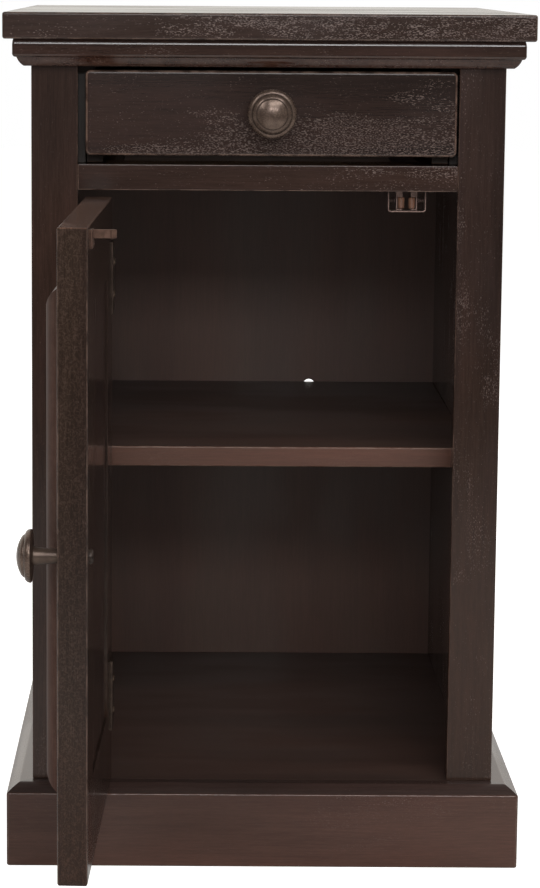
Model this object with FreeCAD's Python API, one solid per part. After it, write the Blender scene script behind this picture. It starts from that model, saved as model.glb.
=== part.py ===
"""Storage side table with one drawer over a hinged cupboard door, standing on a plinth.

Millimetres, +Z up, -Y is the front. The origin is on the floor, under the middle of the top.
The door is modelled shut and then swung open about its hinge axis to its stored position.
"""
import FreeCAD, Part
import math
import os
from FreeCAD import Vector

# ---------------------------------------------------------------------------------------------
# Driving dimensions
# ---------------------------------------------------------------------------------------------
table_height = 628.0
top_width = 381.0
top_depth = 457.0
top_thickness = 19.0
top_edge_round = 1.8
top_overhang_side = 19.5
top_overhang_front = 21.0
top_overhang_back = 2.5

# moulding under the top
cornice_height = 19.5
cornice_projection = 13.0
cornice_foot = 5.0
cornice_ovolo_rise = 6.5
cornice_shoulder = 1.0
cornice_nose_inset = 2.0
cornice_nose_rise = 3.0
cornice_edge_depth = 1.0
cornice_edge_height = 2.5
cornice_edge_bow = 0.3
cornice_bow = 0.7

# carcass
stile_width = 33.5
stile_thickness = 19.0
side_thickness = 15.0
back_thickness = 6.0
back_inset = 2.0
back_rebate = 8.0
back_hole_radius = 5.1
back_hole_x = 48.0
back_hole_rise = -3.0
top_rail_height = 19.5
drawer_bay_height = 70.5
mid_rail_height = 18.5
mid_rail_depth = 48.0
rear_rail_depth = 40.0

# plinth
base_height = 62.0
base_thickness = 18.5
base_flat = 9.0
base_bevel_height = 7.0
base_bevel_bow = 0.4
base_edge_round = 1.5
floor_thickness = 18.0
base_back_thickness = 18.0
block_leg = 34.0
block_clear = 4.0

# shelf
shelf_height = 304.5
shelf_thickness = 15.0
shelf_setback = 55.0
shelf_gap = 0.3
shelf_edge_round = 1.2
support_length = 11.0
support_width = 10.0
support_plate = 2.0
support_drop = 8.5
support_pin_radius = 2.5
support_pin_length = 8.0
support_inset = 36.0
hole_clearance = 0.05

# drawer
drawer_front_thickness = 19.0
drawer_front_round = 2.6
drawer_corner_round = 4.0
drawer_gap_left = 5.5
drawer_gap_right = 1.2
drawer_gap_top = 2.6
drawer_gap_bottom = 6.5
drawer_box_depth = 385.0
drawer_side_thickness = 12.0
drawer_side_clearance = 6.0
drawer_side_drop = 6.5
drawer_back_thickness = 12.0
drawer_back_drop = 8.0
drawer_bottom_thickness = 5.0
drawer_bottom_rise = 12.0
drawer_groove = 5.0
runner_width = 44.0
guide_height = 22.0
guide_clearance = 0.5
kicker_width = 31.0
kicker_clearance = 1.0
slide_clearance = 0.3

# door
door_thickness = 20.0
door_gap_hinge = 4.0
door_gap_latch = 3.5
door_gap_top = 4.5
door_gap_bottom = 1.5
door_open_angle = 91.8
door_edge_round = 1.6
door_stile_width = 53.0
door_top_rail_height = 53.0
door_bottom_rail_height = 60.5
panel_thickness = 13.0
panel_set_back = 5.5
panel_tongue_thickness = 6.0
panel_tongue_depth = 9.0
panel_gap = 0.5
bead_lap = 11.0
bead_width = 22.0
bead_height = 11.0
bead_rise_width = 13.0
bead_rise_bow = 2.2
bead_crest = 2.0
bead_fall_bow = 2.0

# knobs, shared by drawer and door
knob_radius = 17.6
knob_projection = 28.0
knob_stem_radius = 5.0
knob_stem_length = 6.0
knob_neck_radius = 6.0
knob_flare_radius = 7.5
knob_flare_height = 2.0
knob_flare_bow = 0.4
knob_back_height = 17.8
knob_back_round = 0.6
knob_edge_height = 19.2
knob_rim_inner_radius = 14.6
knob_rim_height = 22.2
knob_rim_bow = 0.75
knob_ring_outer_radius = 14.1
knob_ring_outer_height = 23.0
knob_ring_inner_radius = 11.3
knob_ring_inner_height = 25.2
knob_ring_bow = 0.35
knob_groove_depth = 0.5
knob_dome_radius = 10.9
knob_dome_height = 25.5
knob_bore_depth = 14.0
knob_screw_radius = 2.0
knob_screw_engagement = 11.0
knob_screw_head_radius = 5.0
knob_screw_head_height = 2.2
knob_screw_head_round = 1.3
screw_slot_width = 0.9
screw_slot_depth = 0.8
door_knob_from_edge = 21.0
drawer_knob_lift = 0.6

# hinges
hinge_height = 52.0
hinge_from_door_top = 57.5
hinge_from_door_bottom = 67.0
hinge_pivot_forward = 3.4
hinge_knuckle_radius = 3.0
hinge_knuckle_count = 5
hinge_knuckle_gap = 0.3
hinge_pin_radius = 1.5
hinge_pin_overrun = 2.0
hinge_tip_radius = 2.4
hinge_leaf_thickness = 1.5
hinge_frame_leaf_width = 17.0
hinge_wrap_width = 16.0
hinge_screw_spacing = 23.5
running_clearance = 0.05

# small wood screws
screw_radius = 1.6
screw_length = 12.0
screw_head_radius = 3.2
screw_head_height = 1.7
countersunk_head_radius = 3.0

# double roller catch and its strike
catch_from_door_edge = 31.5
catch_width = 28.0
catch_ear = 8.0
catch_height = 16.5
catch_depth = 12.0
catch_sheet = 1.0
catch_corner_round = 2.2
catch_setback = 3.0
catch_roller_setback = 6.0
roller_radius = 2.5
roller_height = 8.1
roller_gap = 2.9
roller_travel = 1.8
roller_pin_radius = 0.9
yoke_tab = 0.8
yoke_web = 1.0
yoke_depth = 4.4
yoke_clearance = 0.3
spring_radius = 1.75
spring_wire_radius = 0.25
spring_turns = 4
spring_points_per_turn = 12
spring_seat_gap = 0.05
strike_sheet = 1.2
strike_width = 14.0
strike_plate_height = 12.4
strike_from_door_top = 3.4
strike_reach = 16.5
strike_tongue_height = 5.6
strike_tongue_from_top = 0.2
strike_neck = 2.0
strike_head = 4.2
strike_head_length = 4.6
strike_head_flare = 1.5
strike_tip = 1.0
strike_screw_offset = 4.0
strike_screw_rise = 3.2
strike_screw_radius = 1.2
strike_screw_head_radius = 2.2
strike_screw_length = 9.0
strike_screw_head_height = 0.9

# ---------------------------------------------------------------------------------------------
# Derived places
# ---------------------------------------------------------------------------------------------
front_y = -top_depth / 2 + top_overhang_front
back_y = top_depth / 2 - top_overhang_back
half_width = top_width / 2 - top_overhang_side
top_underside = table_height - top_thickness
opening_half = half_width - stile_width
inside_half = half_width - side_thickness
back_panel_y = back_y - back_inset - back_thickness
stile_back_y = front_y + stile_thickness

bay_top = top_underside - top_rail_height
bay_floor = bay_top - drawer_bay_height
mid_rail_bottom = bay_floor - mid_rail_height
shelf_bottom = shelf_height - shelf_thickness
floor_bottom = base_height - floor_thickness

door_left = -opening_half + door_gap_hinge
door_right = opening_half - door_gap_latch
door_bottom = base_height + door_gap_bottom
door_top = mid_rail_bottom - door_gap_top
door_back_y = front_y + door_thickness
pivot = Vector(-opening_half + door_gap_hinge / 2, front_y - hinge_pivot_forward, 0)
hinge_centres = {
    "upper": door_top - hinge_from_door_top,
    "lower": door_bottom + hinge_from_door_bottom,
}

X_AXIS = Vector(1, 0, 0)
Y_AXIS = Vector(0, 1, 0)
Z_AXIS = Vector(0, 0, 1)
ORIGIN = Vector(0, 0, 0)


# ---------------------------------------------------------------------------------------------
# Shape helpers
# ---------------------------------------------------------------------------------------------
def box(x0, x1, y0, y1, z0, z1):
    return Part.makeBox(x1 - x0, y1 - y0, z1 - z0, Vector(x0, y0, z0))


def cylinder(radius, start, end):
    axis = end - start
    return Part.makeCylinder(radius, axis.Length, start, axis)


def fuse(shapes):
    whole = shapes[0].multiFuse(shapes[1:])
    return whole.removeSplitter()


def cut(shape, tools):
    for tool in tools:
        shape = shape.cut(tool)
    return shape


def group(shapes):
    return Part.makeCompound(shapes)


def mirrored(shape):
    return shape.mirror(ORIGIN, X_AXIS)


def outline_face(path):
    """Face from a closed path: each item is a point, or a (point on the arc, end point) pair."""
    edges = []
    start = path[0]
    for step in path[1:] + [path[0]]:
        if isinstance(step, tuple):
            middle, end = step
            edges.append(Part.Arc(start, middle, end).toShape())
        else:
            end = step
            edges.append(Part.makeLine(start, end))
        start = end
    return Part.Face(Part.Wire(edges))


def bowed(start, end, bow, normal):
    """Step of an outline path: an arc from start to end that bulges by bow.

    It bulges to the right of the run from start to end, seen against the normal.
    """
    chord = end - start
    aside = chord.cross(normal)
    aside.normalize()
    return ((start + end) / 2 + aside * bow, end)


def quarter_bow(radius):
    """Bulge of a quarter circle over its chord."""
    return radius * (1 - math.sqrt(0.5))


def extruded_plan(points, z0, z1):
    face = outline_face([Vector(x, y, z0) for x, y in points])
    return face.extrude(Vector(0, 0, z1 - z0))


def round_edges(shape, radius, wanted):
    edges = [edge for edge in shape.Edges if wanted(edge)]
    return shape.makeFillet(radius, edges)


def near(a, b):
    return abs(a - b) < 0.01


def edge_box(edge):
    return edge.BoundBox


def front_rim(y):
    """Test for the edges that lie all in the plane at the given y."""
    return lambda edge: near(edge_box(edge).YMin, y) and near(edge_box(edge).YMax, y)


def runs_through(thickness):
    """Test for the edges that run front to back through a board of the given thickness."""
    return lambda edge: near(edge_box(edge).YLength, thickness)


# ---------------------------------------------------------------------------------------------
# Top and the moulding under it
# ---------------------------------------------------------------------------------------------
def table_top():
    half = top_width / 2
    slab = box(-half, half, -top_depth / 2, top_depth / 2, top_underside, table_height)
    return round_edges(slab, top_edge_round, lambda edge: True)


def cornice_profile(across, base):
    """Moulding section: a rounded fascia over a small ovolo; base is its lower inner corner."""
    normal = across.cross(Z_AXIS)

    def at(out, up):
        return base + across * out + Z_AXIS * up

    nose_out = cornice_projection - cornice_nose_inset
    foot = at(cornice_foot, 0)
    ovolo_end = at(nose_out - cornice_shoulder, cornice_ovolo_rise)
    nose = at(nose_out, cornice_ovolo_rise)
    nose_end = at(cornice_projection, cornice_ovolo_rise + cornice_nose_rise)
    round_start = at(cornice_projection, cornice_height - cornice_edge_height)
    round_end = at(cornice_projection - cornice_edge_depth, cornice_height)
    return [
        base,
        foot,
        bowed(foot, ovolo_end, cornice_bow, normal),
        nose,
        bowed(nose, nose_end, cornice_bow, normal),
        round_start,
        bowed(round_start, round_end, cornice_edge_bow, normal),
        at(0, cornice_height),
    ]


def front_band_plan(projection):
    """Plan of a strip along the front, mitred at both corners."""
    return [
        (-half_width, front_y),
        (half_width, front_y),
        (half_width + projection, front_y - projection),
        (-half_width - projection, front_y - projection),
    ]


def side_band_plan(projection):
    """Plan of a strip along the right side, mitred at the front and square at the back."""
    return [
        (half_width, front_y),
        (half_width + projection, front_y - projection),
        (half_width + projection, back_y),
        (half_width, back_y),
    ]


def band_front(profile, projection, z0, z1):
    start = -half_width - projection
    face = outline_face(profile(Vector(0, -1, 0), Vector(start, front_y, z0)))
    bar = face.extrude(Vector(-2 * start, 0, 0))
    return bar.common(extruded_plan(front_band_plan(projection), z0, z1))


def band_side(profile, projection, z0, z1):
    start = front_y - projection
    face = outline_face(profile(X_AXIS, Vector(half_width, start, z0)))
    bar = face.extrude(Vector(0, back_y - start, 0))
    return bar.common(extruded_plan(side_band_plan(projection), z0, z1))


# ---------------------------------------------------------------------------------------------
# Carcass
# ---------------------------------------------------------------------------------------------
def front_stile_right():
    return box(opening_half, half_width, front_y, stile_back_y, base_height, top_underside)


def side_panel_right():
    panel = box(inside_half, half_width, stile_back_y, back_y, base_height, top_underside)
    rebate = box(
        inside_half, inside_half + back_rebate, back_panel_y, back_y, base_height, top_underside
    )
    panel = panel.cut(rebate)
    for y in support_places():
        hole = cylinder(
            support_pin_radius + hole_clearance,
            Vector(inside_half, y, support_axis_z()),
            Vector(inside_half + support_pin_length + hole_clearance, y, support_axis_z()),
        )
        panel = panel.cut(hole)
    return panel


def back_panel():
    half = inside_half + back_rebate
    panel = box(-half, half, back_panel_y, back_panel_y + back_thickness, base_height, top_underside)
    z = shelf_height + back_hole_rise
    start = Vector(back_hole_x, back_panel_y, z)
    return panel.cut(cylinder(back_hole_radius, start, start + Vector(0, back_thickness, 0)))


def top_rail():
    return box(-opening_half, opening_half, front_y, stile_back_y, bay_top, top_underside)


def mid_rail():
    rail = box(
        -opening_half, opening_half, front_y, front_y + mid_rail_depth, mid_rail_bottom, bay_floor
    )
    return cut(rail, [screw_hole(*place) for place in catch_screw_places()])


def rear_rail():
    return box(
        -inside_half, inside_half, back_panel_y - rear_rail_depth, back_panel_y, mid_rail_bottom, bay_floor
    )


def drawer_runner_right():
    """Rebated runner: the drawer side slides on its ledge and is steered by its lip."""
    y0 = front_y + mid_rail_depth
    y1 = back_panel_y - rear_rail_depth
    ledge = box(inside_half - runner_width, inside_half, y0, y1, mid_rail_bottom, bay_floor)
    lip_x = opening_half - drawer_side_clearance + guide_clearance
    lip = box(lip_x, inside_half, y0, y1, bay_floor, bay_floor + guide_height)
    return fuse([ledge, lip])


def drawer_kicker_right():
    z0 = bay_top - drawer_side_drop + kicker_clearance
    return box(inside_half - kicker_width, inside_half, stile_back_y, back_panel_y, z0, top_underside)


def floor_panel():
    return box(-half_width, half_width, front_y, back_y, floor_bottom, base_height)


# ---------------------------------------------------------------------------------------------
# Plinth
# ---------------------------------------------------------------------------------------------
def base_profile(across, base):
    """Plinth section: upright board with a flat top that falls away in a convex bevel."""
    normal = across.cross(Z_AXIS)

    def at(out, up):
        return base + across * out + Z_AXIS * up

    toe_start = at(base_thickness - base_edge_round, 0)
    toe_end = at(base_thickness, base_edge_round)
    bevel_foot = at(base_thickness, base_height - base_bevel_height)
    bevel_end = at(base_flat, base_height)
    return [
        base,
        toe_start,
        bowed(toe_start, toe_end, quarter_bow(base_edge_round), normal),
        bevel_foot,
        bowed(bevel_foot, bevel_end, base_bevel_bow, normal),
        at(0, base_height),
    ]


def base_board_back():
    return box(-half_width, half_width, back_y - base_back_thickness, back_y, 0, floor_bottom)


def corner_blocks():
    """Triangular glue blocks in the four inner corners of the plinth, under the floor panel."""
    blocks = []
    for side in (-1, 1):
        for y, inward in ((front_y, 1), (back_y - base_back_thickness, -1)):
            corner = (side * half_width, y)
            along_x = (side * (half_width - block_leg), y)
            along_y = (side * half_width, y + inward * block_leg)
            blocks.append(extruded_plan([corner, along_x, along_y], block_clear, floor_bottom))
    return group(blocks)


# ---------------------------------------------------------------------------------------------
# Shelf
# ---------------------------------------------------------------------------------------------
def support_axis_z():
    return shelf_bottom - support_drop / 2


def support_places():
    """Y of the shelf supports: one near each end of the shelf."""
    return (front_y + shelf_setback + support_inset, back_panel_y - support_inset)


def shelf():
    half = inside_half - shelf_gap
    y0 = front_y + shelf_setback
    board = box(-half, half, y0, back_panel_y - shelf_gap, shelf_bottom, shelf_height)
    return round_edges(board, shelf_edge_round, front_rim(y0))


def shelf_support(y):
    """Steel support: a peg in the side panel, an upright tab and a plate under the shelf."""
    peg = cylinder(
        support_pin_radius,
        Vector(inside_half - support_plate / 2, y, support_axis_z()),
        Vector(inside_half + support_pin_length, y, support_axis_z()),
    )
    y0 = y - support_width / 2
    y1 = y + support_width / 2
    tab = box(inside_half - support_plate, inside_half, y0, y1, shelf_bottom - support_drop, shelf_bottom)
    plate = box(
        inside_half - support_length, inside_half, y0, y1, shelf_bottom - support_plate, shelf_bottom
    )
    return fuse([peg, tab, plate])


def shelf_supports():
    right = [shelf_support(y) for y in support_places()]
    return group(right + [mirrored(item) for item in right])


# ---------------------------------------------------------------------------------------------
# Fasteners
# ---------------------------------------------------------------------------------------------
def screw_slot(place, direction, radius, depth):
    """Cutter for a driver slot that lies level across a head; place is the top of the head."""
    across = Z_AXIS.cross(direction) if abs(direction.z) < 0.5 else X_AXIS
    reach = across * radius
    half_gap = across.cross(direction) * (screw_slot_width / 2)
    corners = [
        place - reach - half_gap,
        place + reach - half_gap,
        place + reach + half_gap,
        place - reach + half_gap,
    ]
    return outline_face(corners).extrude(direction * depth)


def wood_screw(
    place, direction, radius=screw_radius, head_radius=screw_head_radius,
    head_height=screw_head_height, length=screw_length,
):
    """Round-head screw; place is the seat of its head and direction points into the wood."""
    point_start = place + direction * (length - radius)
    shank = cylinder(radius, place, point_start)
    point = Part.makeCone(radius, 0, radius, point_start, direction)
    sphere_radius = (head_radius ** 2 + head_height ** 2) / (2 * head_height)
    crown = place - direction * head_height
    head = Part.makeSphere(sphere_radius, crown + direction * sphere_radius)
    head = head.common(cylinder(head_radius, crown, place))
    slot = screw_slot(crown, direction, head_radius, min(screw_slot_depth, head_height / 2))
    return fuse([head.cut(slot), shank, point])


def screw_hole(place, direction, radius=screw_radius, length=screw_length):
    clear = radius + hole_clearance
    return cylinder(clear, place, place + direction * (length + hole_clearance))


# ---------------------------------------------------------------------------------------------
# Knobs
# ---------------------------------------------------------------------------------------------
def knob(place):
    """Turned knob whose stem seats at place and which stands out along -Y."""

    def at(radius, height):
        return place + Vector(radius, -height, 0)

    dome_rise = knob_projection - knob_dome_height
    sphere_radius = (knob_dome_radius ** 2 + dome_rise ** 2) / (2 * dome_rise)
    half_turn = math.asin(knob_dome_radius / sphere_radius) / 2
    dome_middle = at(
        sphere_radius * math.sin(half_turn),
        knob_projection - sphere_radius * (1 - math.cos(half_turn)),
    )
    neck_end = at(knob_neck_radius, knob_back_height - knob_flare_height)
    flare_end = at(knob_flare_radius, knob_back_height)
    back_edge = at(knob_radius - knob_back_round, knob_back_height)
    edge_start = at(knob_radius, knob_back_height + knob_back_round)
    edge_end = at(knob_radius, knob_edge_height)
    rim_end = at(knob_rim_inner_radius, knob_rim_height)
    outer_groove = knob_rim_height - knob_groove_depth
    inner_groove = knob_ring_inner_height - knob_groove_depth
    ring_start = at(knob_ring_outer_radius, knob_ring_outer_height)
    ring_end = at(knob_ring_inner_radius, knob_ring_inner_height)
    path = [
        at(0, 0),
        at(knob_stem_radius, 0),
        at(knob_stem_radius, knob_stem_length),
        neck_end,
        bowed(neck_end, flare_end, knob_flare_bow, Z_AXIS),
        back_edge,
        bowed(back_edge, edge_start, -quarter_bow(knob_back_round), Z_AXIS),
        edge_end,
        bowed(edge_end, rim_end, -knob_rim_bow, Z_AXIS),
        at(knob_rim_inner_radius, outer_groove),
        at(knob_ring_outer_radius, outer_groove),
        ring_start,
        bowed(ring_start, ring_end, -knob_ring_bow, Z_AXIS),
        at(knob_ring_inner_radius, inner_groove),
        at(knob_dome_radius, inner_groove),
        at(knob_dome_radius, knob_dome_height),
        (dome_middle, at(0, knob_projection)),
    ]
    body = outline_face(path).revolve(place, Y_AXIS, 360)
    bore = cylinder(knob_screw_radius + hole_clearance, place, place + Vector(0, -knob_bore_depth, 0))
    return body.cut(bore)


def knob_screw(place, thickness):
    """Machine screw from behind; place is the knob's seat and thickness the wood in between."""
    seat = place + Vector(0, thickness, 0)
    crown = seat + Vector(0, knob_screw_head_height, 0)
    shank = cylinder(knob_screw_radius, place + Vector(0, -knob_screw_engagement, 0), seat)
    head = cylinder(knob_screw_head_radius, seat, crown)
    head = round_edges(head, knob_screw_head_round, front_rim(crown.y))
    slot = screw_slot(crown, -Y_AXIS, knob_screw_head_radius, screw_slot_depth)
    return fuse([shank, head.cut(slot)])


def knob_screw_hole(place, thickness):
    clear = knob_screw_radius + hole_clearance
    return cylinder(clear, place, place + Vector(0, thickness, 0))


# ---------------------------------------------------------------------------------------------
# Drawer
# ---------------------------------------------------------------------------------------------
drawer_front_left = -opening_half + drawer_gap_left
drawer_front_right = opening_half - drawer_gap_right
drawer_front_bottom = bay_floor + drawer_gap_bottom
drawer_front_top = bay_top - drawer_gap_top
drawer_front_back = front_y + drawer_front_thickness
drawer_side_outer = opening_half - drawer_side_clearance
drawer_side_bottom = bay_floor + slide_clearance
drawer_side_top = bay_top - drawer_side_drop
drawer_back_y = drawer_front_back + drawer_box_depth
drawer_bottom_z = drawer_side_bottom + drawer_bottom_rise
drawer_knob_seat = Vector(
    (drawer_front_left + drawer_front_right) / 2,
    front_y,
    (drawer_front_bottom + drawer_front_top) / 2 + drawer_knob_lift,
)


def drawer_bottom():
    half = drawer_side_outer - drawer_side_thickness + drawer_groove
    y0 = drawer_front_back - drawer_groove
    return box(
        -half, half, y0, drawer_back_y - drawer_back_thickness,
        drawer_bottom_z, drawer_bottom_z + drawer_bottom_thickness,
    )


def drawer_front():
    board = box(
        drawer_front_left, drawer_front_right, front_y, drawer_front_back,
        drawer_front_bottom, drawer_front_top,
    )
    board = round_edges(board, drawer_corner_round, runs_through(drawer_front_thickness))
    board = round_edges(board, drawer_front_round, front_rim(front_y))
    return cut(board, [drawer_bottom(), knob_screw_hole(drawer_knob_seat, drawer_front_thickness)])


def drawer_side_right():
    side = box(
        drawer_side_outer - drawer_side_thickness, drawer_side_outer, drawer_front_back, drawer_back_y,
        drawer_side_bottom, drawer_side_top,
    )
    return side.cut(drawer_bottom())


def drawer_back():
    half = drawer_side_outer - drawer_side_thickness
    return box(
        -half, half, drawer_back_y - drawer_back_thickness, drawer_back_y,
        drawer_side_bottom + drawer_back_drop, drawer_side_top - drawer_back_drop,
    )


# ---------------------------------------------------------------------------------------------
# Door, drawn shut
# ---------------------------------------------------------------------------------------------
panel_left = door_left + door_stile_width
panel_right = door_right - door_stile_width
panel_bottom = door_bottom + door_bottom_rail_height
panel_top = door_top - door_top_rail_height
panel_front_y = front_y + panel_set_back
tongue_y = front_y + (door_thickness - panel_tongue_thickness) / 2
door_knob_seat = Vector(door_right - door_knob_from_edge, front_y, (door_bottom + door_top) / 2)


def panel_tongue(depth):
    return box(
        panel_left - depth, panel_right + depth, tongue_y, tongue_y + panel_tongue_thickness,
        panel_bottom - depth, panel_top + depth,
    )


def door_panel():
    field = box(
        panel_left + panel_gap, panel_right - panel_gap, panel_front_y, panel_front_y + panel_thickness,
        panel_bottom + panel_gap, panel_top - panel_gap,
    )
    return fuse([field, panel_tongue(panel_tongue_depth - panel_gap)])


def door_rim(edge):
    """Test for a frame member's long edges on the door's rim, all but the hinge side."""
    span = edge_box(edge)
    across = near(span.ZMin, span.ZMax) and (near(span.ZMin, door_bottom) or near(span.ZMin, door_top))
    upright = near(span.XMin, door_right) and near(span.XMax, door_right)
    return near(span.YMin, span.YMax) and (across or upright)


def door_frame_member(x0, x1, z0, z1, holes):
    member = box(x0, x1, front_y, door_back_y, z0, z1)
    member = round_edges(member, door_edge_round, door_rim)
    return cut(member, [panel_tongue(panel_tongue_depth)] + holes)


def door_stile_hinge():
    holes = [screw_hole(*place) for place in hinge_door_screw_places()]
    return door_frame_member(door_left, panel_left, door_bottom, door_top, holes)


def door_stile_free():
    holes = [knob_screw_hole(door_knob_seat, door_thickness)]
    holes += [strike_hole(place) for place in strike_screw_places()]
    return door_frame_member(panel_right, door_right, door_bottom, door_top, holes)


def bead_profile(across, base):
    """Raised bead on the door: base is its outer foot, across points to the panel's middle."""
    normal = across.cross(-Y_AXIS)

    def at(along, out):
        return base + across * along - Y_AXIS * out

    crest_start = at(bead_rise_width, bead_height)
    crest_end = at(bead_rise_width + bead_crest, bead_height)
    inner_foot = at(bead_width, -panel_set_back)
    return [
        base,
        bowed(base, crest_start, -bead_rise_bow, normal),
        crest_end,
        bowed(crest_end, inner_foot, bead_fall_bow, normal),
        at(bead_lap + panel_gap, -panel_set_back),
        at(bead_lap + panel_gap, 0),
    ]


def door_beads():
    """Four mitred beads that lap the joint between the door's frame and its panel."""
    outer = {
        "left": panel_left - bead_lap,
        "right": panel_right + bead_lap,
        "bottom": panel_bottom - bead_lap,
        "top": panel_top + bead_lap,
    }
    inner = {
        "left": outer["left"] + bead_width,
        "right": outer["right"] - bead_width,
        "bottom": outer["bottom"] + bead_width,
        "top": outer["top"] - bead_width,
    }
    length_x = outer["right"] - outer["left"]
    length_z = outer["top"] - outer["bottom"]
    runs = {
        "hinge": (Vector(outer["left"], front_y, outer["bottom"]), X_AXIS, Vector(0, 0, length_z)),
        "free": (Vector(outer["right"], front_y, outer["bottom"]), -X_AXIS, Vector(0, 0, length_z)),
        "bottom": (Vector(outer["left"], front_y, outer["bottom"]), Z_AXIS, Vector(length_x, 0, 0)),
        "top": (Vector(outer["left"], front_y, outer["top"]), -Z_AXIS, Vector(length_x, 0, 0)),
    }
    corners = {
        "hinge": [("left", "bottom"), ("left", "top")],
        "free": [("right", "bottom"), ("right", "top")],
        "bottom": [("left", "bottom"), ("right", "bottom")],
        "top": [("left", "top"), ("right", "top")],
    }
    y0 = front_y - bead_height
    y1 = front_y + panel_set_back
    beads = {}
    for name, (start, across, run) in runs.items():
        bar = outline_face(bead_profile(across, start)).extrude(run)
        (xa, za), (xb, zb) = corners[name]
        plan = [
            Vector(outer[xa], y0, outer[za]),
            Vector(outer[xb], y0, outer[zb]),
            Vector(inner[xb], y0, inner[zb]),
            Vector(inner[xa], y0, inner[za]),
        ]
        mitre = outline_face(plan).extrude(Vector(0, y1 - y0, 0))
        beads[name] = bar.common(mitre)
    return beads


# ---------------------------------------------------------------------------------------------
# Hinges
# ---------------------------------------------------------------------------------------------
def hinge_screw_heights(centre_z):
    return (centre_z - hinge_screw_spacing / 2, centre_z + hinge_screw_spacing / 2)


def hinge_frame_screw_places():
    """Seats of the screws through the frame leaves, in the left stile's inner edge."""
    y = front_y + stile_thickness / 2
    x = -opening_half + hinge_leaf_thickness
    return [
        (Vector(x, y, z), -X_AXIS)
        for centre in hinge_centres.values()
        for z in hinge_screw_heights(centre)
    ]


def hinge_door_screw_places():
    """Seats of the screws through the wrapped leaves, on the door's inner face."""
    x = door_left + hinge_wrap_width / 2
    y = door_back_y + hinge_leaf_thickness
    return [
        (Vector(x, y, z), -Y_AXIS)
        for centre in hinge_centres.values()
        for z in hinge_screw_heights(centre)
    ]


def countersunk_screw(place, direction):
    """Flat-head screw whose head is flush with the leaf; place is the middle of the head."""
    point_start = place + direction * (screw_length - screw_radius)
    head = Part.makeCone(countersunk_head_radius, screw_radius, hinge_leaf_thickness, place, direction)
    shank = cylinder(screw_radius, place, point_start)
    point = Part.makeCone(screw_radius, 0, screw_radius, point_start, direction)
    return fuse([head, shank, point])


def countersink(place, direction):
    clear = screw_radius + hole_clearance
    wide = countersunk_head_radius + hole_clearance
    return Part.makeCone(wide, clear, hinge_leaf_thickness, place, direction)


def knuckle_spans(centre_z):
    """Heights of the knuckles, lowest first; the frame leaf has the even ones."""
    pitch = hinge_height / hinge_knuckle_count
    z0 = centre_z - hinge_height / 2
    return [
        (z0 + pitch * i + hinge_knuckle_gap / 2, z0 + pitch * (i + 1) - hinge_knuckle_gap / 2)
        for i in range(hinge_knuckle_count)
    ]


def hinge_leaf(centre_z, first, plates, holes):
    """Leaf made of flat plates and every second knuckle, bored for the pin."""
    spans = knuckle_spans(centre_z)
    reach = hinge_knuckle_radius + hinge_knuckle_gap
    body = fuse(plates)
    for index, (z0, z1) in enumerate(spans):
        if index % 2 != first:
            gap = hinge_knuckle_gap
            notch = cylinder(reach, Vector(pivot.x, pivot.y, z0 - gap), Vector(pivot.x, pivot.y, z1 + gap))
            body = body.cut(notch)
    knuckles = [
        cylinder(hinge_knuckle_radius, Vector(pivot.x, pivot.y, z0), Vector(pivot.x, pivot.y, z1))
        for index, (z0, z1) in enumerate(spans)
        if index % 2 == first
    ]
    body = fuse([body] + knuckles)
    low = centre_z - hinge_height
    bore = cylinder(
        hinge_pin_radius + running_clearance,
        Vector(pivot.x, pivot.y, low),
        Vector(pivot.x, pivot.y, low + 2 * hinge_height),
    )
    return cut(body, [bore] + holes)


def hinge_frame_leaf(centre_z):
    """Leaf screwed to the inner edge of the left stile."""
    x0 = -opening_half
    z0 = centre_z - hinge_height / 2
    plate = box(
        x0, x0 + hinge_leaf_thickness, pivot.y, front_y + hinge_frame_leaf_width,
        z0, z0 + hinge_height,
    )
    holes = [
        countersink(place, direction)
        for place, direction in hinge_frame_screw_places()
        if abs(place.z - centre_z) < hinge_height / 2
    ]
    return hinge_leaf(centre_z, 0, [plate], holes)


def hinge_door_leaf(centre_z):
    """Leaf that wraps the door's hinge edge and is screwed to its inner face."""
    z0 = centre_z - hinge_height / 2
    z1 = z0 + hinge_height
    outer_x = door_left - hinge_leaf_thickness
    inner_y = door_back_y + hinge_leaf_thickness
    edge_plate = box(outer_x, door_left, pivot.y, inner_y, z0, z1)
    face_plate = box(outer_x, door_left + hinge_wrap_width, door_back_y, inner_y, z0, z1)
    holes = [
        screw_hole(place, direction)
        for place, direction in hinge_door_screw_places()
        if abs(place.z - centre_z) < hinge_height / 2
    ]
    return hinge_leaf(centre_z, 1, [edge_plate, face_plate], holes)


def hinge_pin(centre_z):
    """Pin through the knuckles with a small ball tip at each end, held by the frame leaf."""
    reach = hinge_height / 2 + hinge_pin_overrun
    low = Vector(pivot.x, pivot.y, centre_z - reach)
    high = Vector(pivot.x, pivot.y, centre_z + reach)
    shaft = cylinder(hinge_pin_radius, low, high)
    lift = Vector(0, 0, math.sqrt(hinge_tip_radius ** 2 - hinge_pin_radius ** 2))
    tips = [Part.makeSphere(hinge_tip_radius, end) for end in (low - lift, high + lift)]
    return fuse([shaft] + tips)


# ---------------------------------------------------------------------------------------------
# Double roller catch under the mid rail, and the strike on the door
# ---------------------------------------------------------------------------------------------
catch_x = door_right - catch_from_door_edge
catch_front_y = door_back_y + catch_setback
catch_back_y = catch_front_y + catch_depth
catch_bottom = mid_rail_bottom - catch_height
catch_middle_y = catch_front_y + catch_roller_setback
roller_offset = roller_gap / 2 + roller_radius
yoke_low = catch_bottom + catch_sheet + yoke_clearance
yoke_high = mid_rail_bottom - catch_sheet - yoke_clearance
roller_low = yoke_low + yoke_tab + yoke_clearance
roller_high = roller_low + roller_height
yoke_web_x = roller_offset + roller_radius + yoke_clearance
spring_start = yoke_web_x + yoke_web


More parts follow.
